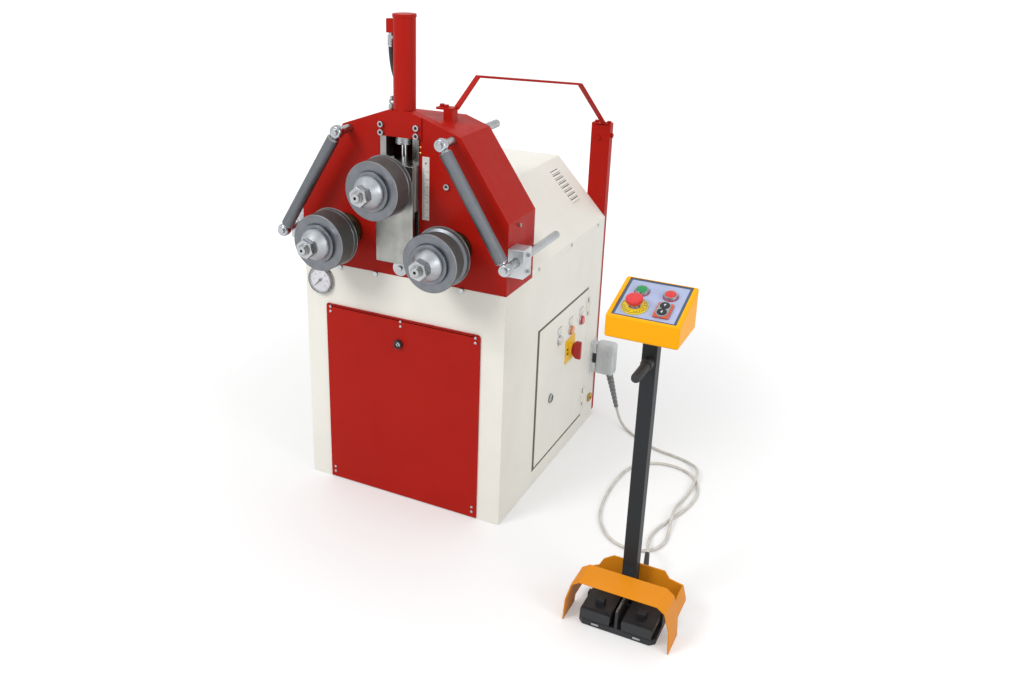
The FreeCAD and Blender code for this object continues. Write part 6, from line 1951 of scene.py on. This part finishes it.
    def seats(self) -> None:
        """Makes the discs under the buttons."""
        solid = Solid()
        for spot in (self.green, self.red):
            solid.turned(self.seat, 64, self.on_face(spot, -0.1))
        disc = Solid().turned(self.disc, 80).paint(lambda spot, normal: True)
        solid.add(disc, self.on_face(self.stop, -0.1))
        finishes = (MAROON, STOP_YELLOW)
        self.piece("button_seats", solid, finishes, "collar_mix", ["button_collars"])

    def bezels(self) -> None:
        """Makes the plated rings round the buttons, the keys and the stop's neck."""
        solid, radius, outline = Solid(), self.key_rim, []
        for spot in (self.green, self.red):
            solid.turned(self.bezel, 64, self.on_face(spot), True)
        for turn, lift in ((0, self.key_step), (math.pi, -self.key_step)):
            for index in range(self.key_rim_steps + 1):
                angle = math.pi * index / self.key_rim_steps + turn
                outline.append((radius * math.cos(angle), radius * math.sin(angle) + lift))
        solid.add(Solid().plate(outline, 2.6).ease(0.7), self.on_face(self.keys, 5.6))
        solid.turned(self.neck, 64, self.on_face(self.stop))
        self.piece("button_bezels", solid, ZINC, "zinc")

    def stop_print(self) -> None:
        """Makes the ring and the small ticks printed on the stop's disc."""
        solid = Solid().turned(self.ring, 80, closed=True)
        for index in range(24):
            if index % 6:
                tick = Solid().block((20.6, -0.8, 4), (24.8, 0.8, 4.15), 0)
                solid.add(tick, spun(index * 15))
        solid = Solid().add(solid, self.on_face(self.stop, -0.1))
        self.piece("stop_disc_print", solid, INK, "black_plastic")

    def direction_key(self, name: str, body: str, step: int) -> None:
        """Makes one direction key with its arrow.

        Args:
            name: Direction that it drives the roll.
            body: CAD body of the key.
            step: 1 for the key further up the slope, -1 for the other.
        """
        u, v = self.keys
        at = self.on_face((u, v + step * self.key_step))
        cap = Solid().turned(self.key, 56, at)
        self.piece(
            f"{name}_key_cap", cap, BLACK_PLASTIC, "black_plastic", [f"{name}_button"], body
        )
        place = at @ moved(0, 0, self.arrow_level) @ spun(90 - step * 90)
        arrow = Solid().plate(self.arrow, 0.2, place)
        self.piece(f"{name}_key_arrow", arrow, PALE_INK, "black_plastic", body=body)

    def grip(self) -> None:
        """Makes the ribbed handgrip across the post's front."""
        end, start = self.grip_y
        length = start - end
        profile = list(self.grip_collar)
        for index in range(self.grip_ribs):
            low = 24 + index * self.grip_pitch
            profile += [(10, low), (11, low + 1.2), (11, low + 4.6), (10, low + 5.8)]
        profile += [(10.8, length - 6), (9.4, length - 1.6), (6, length), (0, length)]
        solid = Solid().turned(profile, 48, facing_front((self.post_at[0], start, self.grip_z)))
        self.piece("post_grip", solid, BLACK_PLASTIC, "black_plastic")


@dataclass
class FootPedal(Assembly):
    """Foot pedal: an orange guard over two flat treadles on a black base."""

    spans: tuple[Pair, Pair] = ((659, 734), (762, 837))
    y: Pair = (-657, -570)
    z: Pair = (30, 48)
    toe: Point = (22, 18, 14)
    toe_y: float = -624
    ridges: tuple[float, ...] = (-654.4, -650.6, -646.8)
    lip: float = 8
    divider_x: float = 748
    divider_y: Pair = (-650, -571)
    divider_top: float = 66
    base_front: float = -651

    def build(self) -> None:
        """Makes the pedal's pieces."""
        self.refit("pedal_guard", ORANGE, "yellow_paint", 0.8)
        self.refit("pedal_base", BLACK_PLASTIC, "black_plastic", 1.6, 3)
        for side, span in zip(("left", "right"), self.spans):
            self.treadle(side, *span)
        self.trim()

    def treadle(self, side: str, x0: float, x1: float) -> None:
        """Makes one treadle with its toe block and the ridges along its front edge.

        Args:
            side: Side that it stands on.
            x0: Its left edge.
            x1: Its right edge.
        """
        (y0, y1), (z0, z1) = self.y, self.z
        (wide, deep, high), middle, toe = self.toe, (x0 + x1) / 2, self.toe_y
        solid = Solid().block((x0, y0, z0), (x1, y1, z1), 1.4, 3)
        solid.block((x0 + 1, y0 + 0.1, z0 - self.lip), (x1 - 1, y0 + 3, z0 + 3))
        corner = (middle + wide / 2, toe + deep, z1 + high)
        solid.block((middle - wide / 2, toe, z1 - 2), corner, 1.6, 3)
        for y in self.ridges:
            solid.block((x0 + 4, y - 1, z1 - 1), (x1 - 4, y + 1, z1 + 1.5), 0.6)
        body, nodes = f"{side}_treadle", [f"{side}_pedal"]
        self.piece(f"{body}_shape", solid, BLACK_PLASTIC, "black_plastic", nodes, body)

    def trim(self) -> None:
        """Makes the bright strip on the divider and the two plates on the base's front edge."""
        (front, back), base = self.divider_y, self.base_front
        x, top = self.divider_x, self.divider_top
        solid = Solid().block((x - 2.2, front - 0.7, 16), (x + 2.2, front + 1, top + 0.7), 0.5)
        solid.block((x - 2.2, front - 0.7, top - 1), (x + 2.2, back, top + 0.8), 0.5)
        for span in self.spans:
            middle = sum(span) / 2
            solid.block((middle - 9, base - 0.6, 6), (middle + 9, base + 0.5, 11), 0.25)
        self.piece("pedal_trim", solid, ZINC, "zinc")


@dataclass
class MastAndBow(Assembly):
    """Mast behind the cabinet, the bow over the machine and the fixed guide rods."""

    mast_ease: float = 1.2
    bow_ease: float = 1.0
    rod_ease: float = 0.8

    def build(self) -> None:
        """Makes the mast, the bow and the fixed guide rods."""
        self.refit("mast", RED, "red_paint", self.mast_ease)
        self.refit("lifting_bow", RED, "red_paint", self.bow_ease)
        self.refit("upper_guide_rods", ZINC, "machined_steel", self.rod_ease)


def main() -> None:
    """Builds the studio and then the machine, piece by piece."""
    logging.basicConfig(level=logging.INFO, format="%(name)s %(message)s", stream=sys.stdout)
    parts = (
        Studio(),
        ControlCord(),
        Cabinet(),
        Head(),
        Roll("left", (-165.4, 795)),
        Roll("right", (165.4, 795), Tread.GROOVED),
        Roll("top", (0, 956)),
        Cylinder(),
        Guide("left", -1),
        Guide("right", 1),
        Gauge(),
        SideDoor(),
        Console(),
        FootPedal(),
        MastAndBow(),
    )
    for part in parts:
        part.build()
        LOG.info("%s built, %d pieces so far", type(part).__name__, Assembly.count)
    bpy.context.view_layer.update()


if __name__ == "__main__":
    main()
